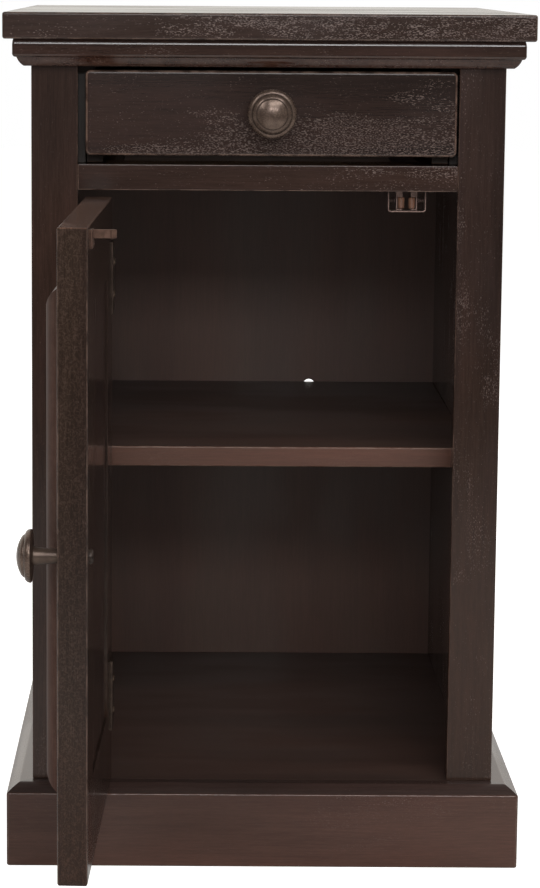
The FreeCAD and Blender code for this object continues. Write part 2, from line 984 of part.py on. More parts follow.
def catch_screw_places():
    """Seats of the two screws through the catch's ears, pointing up into the mid rail."""
    reach = (catch_width + catch_ear) / 2
    y = (catch_front_y + catch_back_y) / 2
    z = mid_rail_bottom - catch_sheet
    return [(Vector(catch_x + side * reach, y, z), Z_AXIS) for side in (-1, 1)]


def bottom_corner(z):
    """Test for the catch bracket's edges that run front to back at height z."""

    def wanted(edge):
        return near(edge_box(edge).ZMax, z) and edge_box(edge).YLength > catch_depth / 2

    return wanted


def catch_bracket():
    """Folded sheet box, open to the front and back, with an ear each side under the rail."""
    half = catch_width / 2
    shell = box(catch_x - half, catch_x + half, catch_front_y, catch_back_y, catch_bottom, mid_rail_bottom)
    shell = round_edges(shell, catch_corner_round, bottom_corner(catch_bottom))
    hollow = box(
        catch_x - half + catch_sheet, catch_x + half - catch_sheet, catch_front_y, catch_back_y,
        catch_bottom + catch_sheet, mid_rail_bottom - catch_sheet,
    )
    inner_round = catch_corner_round - catch_sheet
    hollow = round_edges(hollow, inner_round, bottom_corner(catch_bottom + catch_sheet))
    ears = box(
        catch_x - half - catch_ear, catch_x + half + catch_ear, catch_front_y, catch_back_y,
        mid_rail_bottom - catch_sheet, mid_rail_bottom,
    )
    body = fuse([shell.cut(hollow), ears])
    return cut(body, [screw_hole(*place) for place in catch_screw_places()])


def catch_yoke(side):
    """Sliding yoke with a web, two tabs and the roller's pin; side is -1 left, 1 right."""
    y0 = catch_middle_y - yoke_depth / 2
    y1 = catch_middle_y + yoke_depth / 2
    web_x = sorted((catch_x + side * yoke_web_x, catch_x + side * spring_start))
    tab_x = sorted((catch_x + side * (roller_offset - roller_pin_radius), catch_x + side * spring_start))
    web = box(web_x[0], web_x[1], y0, y1, yoke_low, yoke_high)
    low_tab = box(tab_x[0], tab_x[1], y0, y1, yoke_low, yoke_low + yoke_tab)
    high_tab = box(tab_x[0], tab_x[1], y0, y1, roller_high + yoke_clearance, yoke_high)
    axis_x = catch_x + side * roller_offset
    pin = cylinder(
        roller_pin_radius,
        Vector(axis_x, catch_middle_y, yoke_low),
        Vector(axis_x, catch_middle_y, roller_high + 2 * yoke_clearance),
    )
    return fuse([web, low_tab, high_tab, pin])


def catch_roller(side):
    centre = Vector(catch_x + side * roller_offset, catch_middle_y, 0)
    low = centre + Vector(0, 0, roller_low)
    high = centre + Vector(0, 0, roller_high)
    roller = cylinder(roller_radius, low, high)
    return roller.cut(cylinder(roller_pin_radius + running_clearance, low, high))


def catch_spring_left():
    """Coil spring between the yoke's web and the bracket's wall, wound about X."""
    length = catch_width / 2 - catch_sheet - spring_start - 2 * (spring_wire_radius + spring_seat_gap)
    start = catch_x - spring_start - spring_wire_radius - spring_seat_gap
    centre = Vector(start, catch_middle_y, (yoke_low + yoke_high) / 2)
    step_count = spring_turns * spring_points_per_turn
    points = []
    for step in range(step_count + 1):
        turn = math.radians(360 * step / spring_points_per_turn)
        along = -length * step / step_count
        aside = math.sin(turn) * spring_radius
        up = math.cos(turn) * spring_radius
        points.append(centre + Vector(along, aside, up))
    middle_line = Part.BSplineCurve()
    middle_line.interpolate(points)
    heading = middle_line.tangent(middle_line.FirstParameter)[0]
    section = Part.Wire([Part.makeCircle(spring_wire_radius, points[0], heading)])
    return Part.Wire([middle_line.toShape()]).makePipeShell([section], True, True)


strike_x = catch_x
strike_top = door_top - strike_from_door_top
strike_bottom = strike_top - strike_plate_height
strike_face_y = door_back_y + strike_sheet


def strike_screw_places():
    z = strike_bottom + strike_screw_rise
    return [Vector(strike_x + side * strike_screw_offset, strike_face_y, z) for side in (-1, 1)]


def strike_hole(place):
    return screw_hole(place, -Y_AXIS, strike_screw_radius, strike_screw_length)


def strike_plate():
    """Small plate on the door's inner face with a spear-shaped tongue that meets the rollers."""
    plate = box(
        strike_x - strike_width / 2, strike_x + strike_width / 2, door_back_y, strike_face_y,
        strike_bottom, strike_top,
    )
    tip_y = door_back_y + strike_reach
    head_y = tip_y - strike_head_length
    neck = strike_neck / 2
    head = strike_head / 2
    tip = strike_tip / 2
    half_plan = [
        (neck, door_back_y),
        (neck, head_y),
        (head, head_y + strike_head_flare),
        (tip, tip_y),
    ]
    plan = [(strike_x + x, y) for x, y in half_plan]
    plan += [(strike_x - x, y) for x, y in reversed(half_plan)]
    tongue_top = strike_top - strike_tongue_from_top
    tongue = extruded_plan(plan, tongue_top - strike_tongue_height, tongue_top)
    body = fuse([plate, tongue])
    return cut(body, [strike_hole(place) for place in strike_screw_places()])


# ---------------------------------------------------------------------------------------------
# Every node, by name
# ---------------------------------------------------------------------------------------------
def fixed_nodes():
    stile_holes = [screw_hole(*place) for place in hinge_frame_screw_places()]
    stile_right = front_stile_right()
    nodes = {
        "table_top": table_top(),
        "top_moulding_front": band_front(cornice_profile, cornice_projection, bay_top, top_underside),
        "top_rail": top_rail(),
        "mid_rail": mid_rail(),
        "rear_rail": rear_rail(),
        "back_panel": back_panel(),
        "floor_panel": floor_panel(),
        "base_board_front": band_front(base_profile, base_thickness, 0, base_height),
        "base_board_back": base_board_back(),
        "base_corner_blocks": corner_blocks(),
        "shelf": shelf(),
        "shelf_supports": shelf_supports(),
        "front_stile_right": stile_right,
        "front_stile_left": cut(mirrored(stile_right), stile_holes),
        "catch_bracket": catch_bracket(),
        "catch_screws": group([wood_screw(*place) for place in catch_screw_places()]),
    }
    pairs = {
        "top_moulding": band_side(cornice_profile, cornice_projection, bay_top, top_underside),
        "side_panel": side_panel_right(),
        "base_board": band_side(base_profile, base_thickness, 0, base_height),
        "drawer_runner": drawer_runner_right(),
        "drawer_kicker": drawer_kicker_right(),
    }
    for name, right in pairs.items():
        nodes[name + "_right"] = right
        nodes[name + "_left"] = mirrored(right)
    for name, side in (("left", -1), ("right", 1)):
        nodes["catch_yoke_" + name] = catch_yoke(side)
        nodes["catch_roller_" + name] = catch_roller(side)
    spring = catch_spring_left()
    nodes["catch_spring_left"] = spring
    nodes["catch_spring_right"] = spring.mirror(Vector(catch_x, 0, 0), X_AXIS)
    for name, centre_z in hinge_centres.items():
        nodes["hinge_frame_leaf_" + name] = hinge_frame_leaf(centre_z)
    nodes["hinge_pins"] = group([hinge_pin(z) for z in hinge_centres.values()])
    nodes["hinge_frame_screws"] = group(
        [countersunk_screw(*place) for place in hinge_frame_screw_places()]
    )
    return nodes


def drawer_nodes():
    side = drawer_side_right()
    return {
        "drawer_front": drawer_front(),
        "drawer_side_right": side,
        "drawer_side_left": mirrored(side),
        "drawer_back": drawer_back(),
        "drawer_bottom": drawer_bottom(),
        "drawer_knob": knob(drawer_knob_seat),
        "drawer_knob_screw": knob_screw(drawer_knob_seat, drawer_front_thickness),
    }


def door_nodes():
    strike_screws = [
        wood_screw(
            place, -Y_AXIS, strike_screw_radius, strike_screw_head_radius,
            strike_screw_head_height, strike_screw_length,
        )
        for place in strike_screw_places()
    ]
    nodes = {
        "door_stile_hinge": door_stile_hinge(),
        "door_stile_free": door_stile_free(),
        "door_rail_top": door_frame_member(panel_left, panel_right, panel_top, door_top, []),
        "door_rail_bottom": door_frame_member(panel_left, panel_right, door_bottom, panel_bottom, []),
        "door_panel": door_panel(),
        "door_knob": knob(door_knob_seat),
        "door_knob_screw": knob_screw(door_knob_seat, door_thickness),
        "hinge_door_screws": group([wood_screw(*place) for place in hinge_door_screw_places()]),
        "strike_plate": strike_plate(),
        "strike_screws": group(strike_screws),
    }
    for name, bead in door_beads().items():
        nodes["door_bead_" + name] = bead
    for name, centre_z in hinge_centres.items():
        nodes["hinge_door_leaf_" + name] = hinge_door_leaf(centre_z)
    for shape in nodes.values():
        shape.rotate(pivot, Z_AXIS, -door_open_angle)
    return nodes


def main():
    os.makedirs("parts", exist_ok=True)
    nodes = {**fixed_nodes(), **drawer_nodes(), **door_nodes()}
    for name, shape in nodes.items():
        if not shape.isValid():
            print("not valid:", name)
        shape.exportStep("parts/" + name + ".step")
    print(len(nodes), "nodes")


main()
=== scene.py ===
"""Looks for the storage side table with door: materials, fine pieces, studio, camera.

Metres, in the CAD frame: +Z up, -Y is the front, the origin on the floor under the top.
"""
import math

import bmesh
import bpy
from mathutils import Matrix, Vector


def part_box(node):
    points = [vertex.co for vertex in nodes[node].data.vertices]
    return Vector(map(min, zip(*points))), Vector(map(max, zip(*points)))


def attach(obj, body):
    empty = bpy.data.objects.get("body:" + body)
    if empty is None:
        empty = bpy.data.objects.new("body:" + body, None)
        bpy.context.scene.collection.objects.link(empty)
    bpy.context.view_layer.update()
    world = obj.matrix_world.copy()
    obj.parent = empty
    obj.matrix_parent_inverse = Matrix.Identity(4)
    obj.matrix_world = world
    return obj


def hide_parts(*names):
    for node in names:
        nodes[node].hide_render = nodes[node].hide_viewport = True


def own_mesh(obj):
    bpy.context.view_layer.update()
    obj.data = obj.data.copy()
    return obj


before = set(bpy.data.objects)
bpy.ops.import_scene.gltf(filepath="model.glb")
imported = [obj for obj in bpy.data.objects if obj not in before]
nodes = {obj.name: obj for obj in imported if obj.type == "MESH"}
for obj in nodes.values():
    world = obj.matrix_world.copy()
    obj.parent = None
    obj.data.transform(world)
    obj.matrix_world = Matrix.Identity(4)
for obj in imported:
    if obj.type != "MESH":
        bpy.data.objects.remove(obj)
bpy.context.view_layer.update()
MM = 0.001

# The door is modelled shut and turned about its hinge line to the pose of the photograph.
HINGE = Vector((-0.1355, -0.2109, 0.0))
DOOR_OPEN = math.radians(-91.8)
DOOR_TURN = (
    Matrix.Translation(HINGE) @ Matrix.Rotation(DOOR_OPEN, 4, "Z") @ Matrix.Translation(-HINGE)
)


# ---------------------------------------------------------------------------------------------
# Node helpers
# ---------------------------------------------------------------------------------------------
class Shader:
    """Short way to add and join nodes in a material or world, starting from an empty tree."""

    def __init__(self, tree):
        self.tree = tree
        self.tree.nodes.clear()

    def add(self, kind, inputs=None, **settings):
        node = self.tree.nodes.new("ShaderNode" + kind)
        for key, value in settings.items():
            setattr(node, key, value)
        for key, value in (inputs or {}).items():
            self.feed(node.inputs[key], value)
        return node

    def feed(self, socket, value):
        if isinstance(value, bpy.types.NodeSocket):
            self.tree.links.new(value, socket)
        else:
            socket.default_value = value

    def math(self, operation, a, b=0.0, clamp=False):
        node = self.add("Math", {0: a, 1: b}, operation=operation, use_clamp=clamp)
        return node.outputs[0]

    def vector(self, operation, a, b):
        return self.add("VectorMath", {0: a, 1: b}, operation=operation).outputs[0]

    def noise(self, place, scale, detail=2.0, roughness=0.5, distortion=0.0):
        """Noise round 0.5, at a place multiplied by the (x, y, z) scale."""
        stretched = self.vector("MULTIPLY", place, scale)
        node = self.add(
            "TexNoise",
            {"Vector": stretched, "Scale": 1.0, "Detail": detail, "Roughness": roughness,
             "Distortion": distortion},
        )
        return node.outputs["Fac"]

    def ramp(self, value, low, high, out_low=0.0, out_high=1.0):
        """Smooth step from out_low to out_high as the value goes from low to high."""
        node = self.add(
            "MapRange",
            {"Value": value, "From Min": low, "From Max": high,
             "To Min": out_low, "To Max": out_high},
            interpolation_type="SMOOTHSTEP",
        )
        return node.outputs[0]

    def mix(self, factor, a, b, blend="MIX"):
        node = self.add("Mix", data_type="RGBA", blend_type=blend)
        self.feed(node.inputs[0], factor)
        self.feed(node.inputs[6], a)
        self.feed(node.inputs[7], b)
        return node.outputs[2]


def colour(red, green, blue):
    """Linear colour of an sRGB triple from 0 to 255."""
    linear = []
    for value in (red, green, blue):
        value /= 255
        linear.append(value / 12.92 if value <= 0.04045 else ((value + 0.055) / 1.055) ** 2.4)
    return (*linear, 1.0)


def new_material(name):
    material = bpy.data.materials.new(name)
    material.use_nodes = True
    return material, Shader(material.node_tree)


def object_place(shader, offset):
    coordinates = shader.add("TexCoord").outputs["Object"]
    return shader.vector("ADD", coordinates, offset)


def highest(shader, values):
    """Largest of several sockets."""
    result = values[0]
    for value in values[1:]:
        result = shader.math("MAXIMUM", result, value)
    return result


def close_material(shader, inputs, **plain):
    """Principled surface: linked inputs by name, and plain numbers set on the socket itself."""
    surface = shader.add("BsdfPrincipled", inputs)
    for key, value in plain.items():
        surface.inputs[key.replace("_", " ")].default_value = value
    shader.add("OutputMaterial", {"Surface": surface.outputs[0]})


ORIGIN = (0.0, 0.0, 0.0)
BUMP_DEPTH = 0.1 * MM


# ---------------------------------------------------------------------------------------------
# Wood
# ---------------------------------------------------------------------------------------------
# noise scales per metre, along the grain and across it
TONE_BANDS, CLOUDS, GRAIN, FIBRES = (2.2, 26.0), (6.0, 14.0), (30.0, 760.0), (160.0, 2100.0)
CURLS, PATCHES, RIPPLES, DASHES = (380.0, 460.0), (8.0, 30.0), (34.0, 150.0), (620.0, 2000.0)
WANDER_SCALE, RUB_AND_HIGHLIGHT_SCALE = 9.0, 70.0
REDDER = (1.22, 0.93, 0.84, 1.0)
# colour of worn edges, which also paints the edges' highlights
WORN_AND_HIGHLIT_WOOD = (118, 96, 85)
# what a zone's coordinate may be
DEPTH, HEIGHT, OFF_MIDDLE = 1, 2, 3
# heights on a plinth board between which its edge wear and painted highlight end
WEAR_AND_HIGHLIGHT_CEILING = (0.0600, 0.0585)


def along(axis, run, cross):
    """Noise scale with one figure along the grain axis and another across it."""
    return tuple(run if letter == axis else cross for letter in "XYZ")


def wood(name, axis, seed, dark, light, pore=(112, 95, 89), pore_level=0.4, pore_patches=0.5,
         red=0.35, gloss=0.19, figure=0.5, wear_and_highlight=0.35, crackle=0.0, specular=0.36, zones=(),
         lean=None, streaks=1.0, edge_low=0.0):
    """Dark stained wood: tone bands, fine grain, pale pores in patches, worn and painted-highlit
    edges.

    - dark and light are the stain's two tones, and red is how far it turns redder in clouds.
    - pore, pore_level and pore_patches are the pores' colour, strength and extent. A figure above
      1 ripples them. lean is a vector and a constant that make them denser to one side.
    - streaks scales the grain's contrast, and crackle adds short pale curls.
    - Each zone is (coordinate, from, to, tint): the tint grows in as that coordinate goes from the
      one figure to the other. OFF_MIDDLE is the distance from the table's middle plane.
    - Edge wear and a painted highlight start where the normal leaves the board's directions.
      With edge_low they end again at that component of the normal, so that a plinth's bevel has
      neither, and at WEAR_AND_HIGHLIGHT_CEILING; wear_and_highlight is their strength.
    """
    material, shader = new_material(name)
    coordinates = shader.add("TexCoord")
    raw = coordinates.outputs["Object"]
    place = shader.vector("ADD", raw, (seed * 1.37, seed * -0.83, seed * 0.59))
    wander = shader.add("TexNoise", {"Vector": place, "Scale": WANDER_SCALE, "Detail": 2.0})
    wander = shader.vector("SUBTRACT", wander.outputs["Color"], (0.5, 0.5, 0.5))
    wander = shader.vector("MULTIPLY", wander, (0.006 * figure,) * 3)
    place = shader.vector("ADD", place, wander)

    bands = shader.ramp(shader.noise(place, along(axis, *TONE_BANDS), 3.0, 0.55), 0.33, 0.67)
    cloud = shader.ramp(shader.noise(place, along(axis, *CLOUDS), 2.0), 0.35, 0.68)
    grain = shader.noise(place, along(axis, *GRAIN), 3.0, 0.6)
    fibre = shader.noise(place, along(axis, *FIBRES), 2.0, 0.5)
    body = shader.mix(bands, colour(*dark), colour(*light))
    redder = shader.mix(1.0, body, REDDER, "MULTIPLY")
    body = shader.mix(shader.math("MULTIPLY", cloud, red), body, redder)
    streak = shader.ramp(grain, 0.30, 0.70, 1.0 - 0.16 * streaks, 1.0 + 0.16 * streaks)
    threads = shader.ramp(fibre, 0.3, 0.7, 1.0 - 0.10 * streaks, 1.0 + 0.10 * streaks)
    streak = shader.math("MULTIPLY", streak, threads)
    if crackle:
        curls = shader.noise(place, along(axis, *CURLS), 1.0, 0.5, 0.6)
        curls = shader.math("ABSOLUTE", shader.math("SUBTRACT", curls, 0.5))
        lines = shader.ramp(curls, 0.0, 0.08, 1.0 + 0.46 * crackle, 1.0 - 0.24 * crackle)
        streak = shader.math("MULTIPLY", streak, lines)
    grey = shader.add("CombineColor", {0: streak, 1: streak, 2: streak}).outputs[0]
    body = shader.mix(1.0, body, grey, "MULTIPLY")
    if zones:
        split = list(shader.add("SeparateXYZ", {0: raw}).outputs)
        split.append(shader.math("ABSOLUTE", split[0]))
        for coordinate, start, end, tint in zones:
            tinted = shader.mix(1.0, body, (*tint, 1.0), "MULTIPLY")
            body = shader.mix(shader.ramp(split[coordinate], start, end), body, tinted)

    # pores: short pale dashes, dense in some patches and nearly absent in others
    patch = shader.noise(place, along(axis, *PATCHES), 3.0, 0.6, 0.5)
    if lean:
        slope, constant = lean
        tilt = shader.add("VectorMath", {0: raw, 1: slope}, operation="DOT_PRODUCT")
        tilt = shader.math("ADD", tilt.outputs["Value"], constant)
        patch = shader.math("ADD", patch, tilt)
    patch = shader.ramp(patch, 0.58 - 0.28 * pore_patches, 0.80 - 0.24 * pore_patches)
    limit = shader.ramp(patch, 0.0, 1.0, 0.71, 0.555)
    if figure > 1:
        ripple = shader.noise(place, along(axis, *RIPPLES), 1.0, 0.5, figure)
        limit = shader.math("ADD", limit, shader.ramp(ripple, 0.38, 0.62, -0.035, 0.07))
    dash = shader.noise(place, along(axis, *DASHES), 1.0, 0.5)
    dash = shader.ramp(shader.math("SUBTRACT", dash, limit), 0.0, 0.06)
    dash = shader.math("MULTIPLY", dash, pore_level, clamp=True)
    body = shader.mix(dash, body, colour(*pore))

    # edge wear and painted highlight, where the normal leaves the board's three directions
    normal = shader.vector("ABSOLUTE", coordinates.outputs["Normal"], ORIGIN)
    facing = highest(shader, list(shader.add("SeparateXYZ", {0: normal}).outputs))
    rub_and_highlight = shader.ramp(shader.noise(place, (RUB_AND_HIGHLIGHT_SCALE,) * 3, 4.0, 0.65), 0.38, 0.62, 0.15, 1.0)
    rub_and_highlight = shader.math("MULTIPLY", rub_and_highlight, shader.ramp(facing, 0.86, 0.985, wear_and_highlight, 0.0))
    if edge_low:
        rub_and_highlight = shader.math("MULTIPLY", rub_and_highlight, shader.ramp(facing, edge_low - 0.01, edge_low + 0.01))
        level = shader.add("SeparateXYZ", {0: raw}).outputs[HEIGHT]
        rub_and_highlight = shader.math("MULTIPLY", rub_and_highlight, shader.ramp(level, *WEAR_AND_HIGHLIGHT_CEILING))
    body = shader.mix(rub_and_highlight, body, colour(*WORN_AND_HIGHLIT_WOOD))

    roughness = shader.ramp(cloud, 0.0, 1.0, gloss - 0.03, gloss + 0.05)
    roughness = shader.math("ADD", roughness, shader.math("MULTIPLY", dash, 0.25))
    relief = shader.math("MULTIPLY", grain, 0.55)
    relief = shader.math("ADD", relief, shader.math("MULTIPLY", dash, 0.35))
    bump = shader.add("Bump", {"Strength": 0.14, "Distance": BUMP_DEPTH, "Height": relief})
    close_material(
        shader,
        {"Base Color": body, "Roughness": roughness, "Normal": bump.outputs[0]},
        Specular_IOR_Level=specular,
    )
    return material


# ---------------------------------------------------------------------------------------------
# Metals and nylon
# ---------------------------------------------------------------------------------------------
def metal(name, seed, base, worn, rough, grime=(38, 28, 24), grime_level=0.5, hammer=0.12,
          grain_scale=1400.0, recess=False, metallic=0.8):
    """Plated metal: worn light spots, darker grime, and a fine uneven surface.

    With recess, the mesh says how deep in a groove a point lies, and the grooves are darker.
    """
    material, shader = new_material(name)
    place = object_place(shader, (seed, seed * 0.7, -seed))
    broad = shader.ramp(shader.noise(place, (160.0,) * 3, 3.0, 0.6), 0.35, 0.65)
    fine = shader.noise(place, (grain_scale,) * 3, 3.0, 0.6)
    body = shader.mix(broad, colour(*base), colour(*worn))
    dirt = shader.noise(place, (grain_scale * 0.3,) * 3, 4.0, 0.65, 0.5)
    dirt = shader.ramp(dirt, 0.56, 0.78, 0.0, grime_level)
    if recess:
        depth = shader.add("Attribute", attribute_name="recess").outputs["Fac"]
        dirt = shader.math("MAXIMUM", dirt, shader.math("MULTIPLY", depth, 0.85))
    body = shader.mix(dirt, body, colour(*grime))
    roughness = shader.ramp(fine, 0.3, 0.7, rough - 0.05, rough + 0.07)
    roughness = shader.math("ADD", roughness, shader.math("MULTIPLY", dirt, 0.25))
    bump = shader.add("Bump", {"Strength": hammer, "Distance": BUMP_DEPTH, "Height": fine})
    close_material(
        shader,
        {"Base Color": body, "Roughness": roughness, "Normal": bump.outputs[0]},
        Metallic=metallic,
    )
    return material


def nylon():
    material, shader = new_material("tan_nylon")
    place = object_place(shader, (0.2, 0.4, 0.1))
    mottle = shader.ramp(shader.noise(place, (500.0, 500.0, 150.0), 3.0), 0.3, 0.7)
    body = shader.mix(mottle, colour(106, 74, 59), colour(128, 92, 73))
    rings = shader.noise(place, (60.0, 60.0, 2600.0), 2.0)
    roughness = shader.ramp(rings, 0.3, 0.7, 0.38, 0.52)
    bump = shader.add("Bump", {"Strength": 0.15, "Distance": BUMP_DEPTH / 2, "Height": rings})
    close_material(
        shader,
        {"Base Color": body, "Roughness": roughness, "Normal": bump.outputs[0]},
        Subsurface_Weight=0.08, Subsurface_Scale=0.001,
    )
    return material


# stains, and the settings that pieces of one kind share
ESPRESSO = {"dark": (37, 26, 22), "light": (48, 34, 29)}
STILE = {"dark": (32, 23, 20), "light": (42, 30, 26), "specular": 0.3}
INSIDE = {"dark": (64, 50, 45), "light": (73, 57, 51)}
BAND = dict(ESPRESSO, pore_level=0.45, pore_patches=0.4, wear_and_highlight=0.12, gloss=0.115, specular=0.45,
            red=0.7, zones=[(HEIGHT, 0.5975, 0.5960, (0.85, 0.56, 0.42))])
# the plinth's stain is lighter than the other boards': painted light of the floor's bounce
BASE = {"dark": (59, 39, 32), "light": (71, 48, 40), "pore_level": 0.15, "pore_patches": 0.3,
        "edge_low": 0.84}
DOOR = {"dark": (37, 27, 23), "light": (46, 35, 29), "pore_level": 0.2, "pore_patches": 0.3,
        "red": 0.15, "specular": 0.2}
# lighter top face of the door: painted light from above
DOOR_TOP_PAINTED_LIGHT = (HEIGHT, 0.4948, 0.4958, (2.9, 2.6, 2.45))
# the beads' stain is lighter and redder than the door's: painted light from the left
BEAD = {"dark": (55, 38, 32), "light": (68, 49, 42), "pore_level": 0.15, "red": 0.45, "gloss": 0.42,
        "specular": 0.12, "wear_and_highlight": 0.1}
SECONDARY = {"dark": (88, 65, 49), "light": (112, 86, 66), "pore": (70, 50, 38),
             "pore_level": 0.35, "gloss": 0.5, "specular": 0.3}

MATERIALS = {
    "top": wood("wood_top", "X", 1.0, (36, 26, 22), (47, 35, 31), pore=(108, 92, 86),
                pore_level=0.62, pore_patches=0.8, figure=2.2, lean=((1.0, 0.0, 0.0), -0.04)),
    "drawer": wood("wood_drawer", "X", 2.3, (29, 20, 17), (38, 26, 22), pore=(104, 87, 80),
                   pore_level=0.5, pore_patches=0.78, wear_and_highlight=0.6, lean=((0.35, 0.0, -8.5), 4.70)),
    "rail": wood("wood_rail", "X", 3.1, **ESPRESSO, pore_level=0.5, pore_patches=0.5, wear_and_highlight=0.7),
    "band_x": wood("wood_moulding_front", "X", 4.7, **BAND),
    "band_y": wood("wood_moulding_side", "Y", 5.9, **BAND),
    # the plinth front's zone darkens its top bevel: painted shade
    "base_x": wood("wood_base_front", "X", 6.2, **BASE, wear_and_highlight=0.95, streaks=0.7,
                   zones=[(HEIGHT, 0.0553, 0.0562, (0.62, 0.85, 1.02))]),
    "base_y": wood("wood_base_side", "Y", 7.4, **BASE, wear_and_highlight=0.6),
    # the stiles' zones lighten them towards the bottom: painted light of the floor's bounce
    "stile_left": wood("wood_stile_left", "Z", 8.1, **STILE, pore_level=0.2, pore_patches=0.3,
                       zones=[(HEIGHT, 0.55, 0.44, (1.8, 1.65, 1.5))]),
    "stile_right": wood("wood_stile_right", "Z", 9.6, **STILE, pore_level=0.35, pore_patches=0.4,
                        zones=[(HEIGHT, 0.50, 0.12, (1.85, 1.55, 1.25))]),
    # the side panels' zone lightens their inner faces: painted light inside the cupboard
    "side": wood("wood_side_panel", "Z", 10.2, **ESPRESSO, pore_level=0.3, pore_patches=0.4,
                 zones=[(OFF_MIDDLE, 0.160, 0.158, (5.0, 6.6, 7.2))]),
    "door_z": wood("wood_door_stile", "Z", 11.8, **DOOR, crackle=0.9,
                   zones=[DOOR_TOP_PAINTED_LIGHT, (HEIGHT, 0.22, 0.10, (0.92, 0.74, 0.66))]),
    "door_y": wood("wood_door_rail", "Y", 12.5, **DOOR, crackle=0.7, zones=[DOOR_TOP_PAINTED_LIGHT]),
    "bead_z": wood("wood_door_bead_upright", "Z", 21.8, **BEAD),
    "bead_y": wood("wood_door_bead_level", "Y", 22.5, **BEAD),
    "door_panel": wood("wood_door_panel", "Z", 13.3, **ESPRESSO, pore_level=0.3, pore_patches=0.5),
    "shelf": wood("wood_shelf", "X", 14.9, **INSIDE, pore_level=0.12, pore_patches=0.4, gloss=0.38,
                  wear_and_highlight=0.9, streaks=0.6, zones=[(DEPTH, -0.1500, -0.1520, (1.24, 0.89, 0.72))]),
    "inside": wood("wood_inside", "X", 15.4, **INSIDE, pore_level=0.1, pore_patches=0.3, gloss=0.34,
                   streaks=0.5),
    "back": wood("wood_back_panel", "Z", 16.6, (78, 59, 52), (83, 64, 56), pore_level=0.06,
                 pore_patches=0.3, gloss=0.4, wear_and_highlight=0.1, streaks=0.35),
    # runners and kickers are stained dark: painted shade where they show in the gaps round the
    # drawer
    "hidden_y": wood("wood_drawer_runner", "Y", 19.4, (30, 24, 21), (36, 29, 25), pore_level=0.05,
                     gloss=0.5, wear_and_highlight=0.1),
    "hidden_x": wood("wood_rear_rail", "X", 20.6, **INSIDE, pore_level=0.1, gloss=0.5),
    # guide blocks are stained dark: painted shade in the gaps beside the drawer
    "guide": wood("wood_guide_block", "Z", 23.1, (33, 27, 24), (38, 31, 27), pore_level=0.1,
                  gloss=0.5, wear_and_highlight=0.1),
    # the drawer sides' zone darkens them below the front's lower edge: painted shade in the gap
    "secondary_y": wood("wood_drawer_side", "Y", 17.2, **SECONDARY,
                        zones=[(HEIGHT, 0.5270, 0.5255, (0.11, 0.11, 0.12))]),
    "secondary_x": wood("wood_drawer_back", "X", 18.8, **SECONDARY),
    "bronze": metal("antique_bronze", 0.3, (80, 65, 57), (95, 79, 69), 0.25, (46, 34, 28), 0.4,
                    hammer=0.3, grain_scale=800.0, recess=True, metallic=0.55),
    "hinge": metal("bronzed_steel", 0.4, (60, 49, 43), (84, 70, 62), 0.34),
    "screw": metal("screw_steel", 0.8, (96, 80, 70), (124, 106, 94), 0.30),
    "dark_screw": metal("dark_screw_steel", 2.2, (46, 36, 31), (62, 50, 44), 0.42, metallic=0.5),
    "zinc": metal("zinc_steel", 1.2, (118, 98, 92), (142, 120, 112), 0.36, (66, 50, 46), 0.5),
    "strike": metal("strike_brass", 1.7, (92, 70, 60), (118, 92, 80), 0.36, (58, 42, 35), 0.5),
    "nylon": nylon(),
}

NODE_MATERIALS = {
    "table_top": "top",
    "top_moulding_front": "band_x", "top_moulding_left": "band_y", "top_moulding_right": "band_y",
    "top_rail": "rail", "mid_rail": "rail", "rear_rail": "hidden_x",
    "back_panel": "back", "floor_panel": "inside",
    "base_board_front": "base_x", "base_board_left": "base_y", "base_board_right": "base_y",
    "base_board_back": "base_x", "base_corner_blocks": "secondary_x",
    "shelf": "shelf", "shelf_supports": "zinc",
    "front_stile_left": "stile_left", "front_stile_right": "stile_right",
    "side_panel_left": "side", "side_panel_right": "side",
    "drawer_runner_left": "hidden_y", "drawer_runner_right": "hidden_y",
    "drawer_kicker_left": "hidden_y", "drawer_kicker_right": "hidden_y",
    "catch_bracket": "zinc", "catch_screws": "screw",
    "catch_yoke_left": "zinc", "catch_yoke_right": "zinc",
    "catch_roller_left": "nylon", "catch_roller_right": "nylon",
    "catch_spring_left": "zinc", "catch_spring_right": "zinc",
    "hinge_frame_leaf_upper": "hinge", "hinge_frame_leaf_lower": "hinge",
    "hinge_pins": "hinge", "hinge_frame_screws": "screw",
    "drawer_front": "drawer", "drawer_side_left": "secondary_y", "drawer_side_right": "secondary_y",
    "drawer_back": "secondary_x", "drawer_bottom": "secondary_x",
    "drawer_knob": "bronze", "drawer_knob_screw": "dark_screw",
    "door_stile_hinge": "door_z", "door_stile_free": "door_z",
    "door_rail_top": "door_y", "door_rail_bottom": "door_y", "door_panel": "door_panel",
    "door_bead_hinge": "bead_z", "door_bead_free": "bead_z",
    "door_bead_bottom": "bead_y", "door_bead_top": "bead_y",
    "door_knob": "bronze", "door_knob_screw": "dark_screw",
    "hinge_door_leaf_upper": "hinge", "hinge_door_leaf_lower": "hinge",
    "hinge_door_screws": "screw",
    "strike_plate": "strike", "strike_screws": "strike",
}


def dress(obj, key):
    obj.data.materials.clear()
    obj.data.materials.append(MATERIALS[key])


for node_name, material_key in NODE_MATERIALS.items():
    dress(nodes[node_name], material_key)


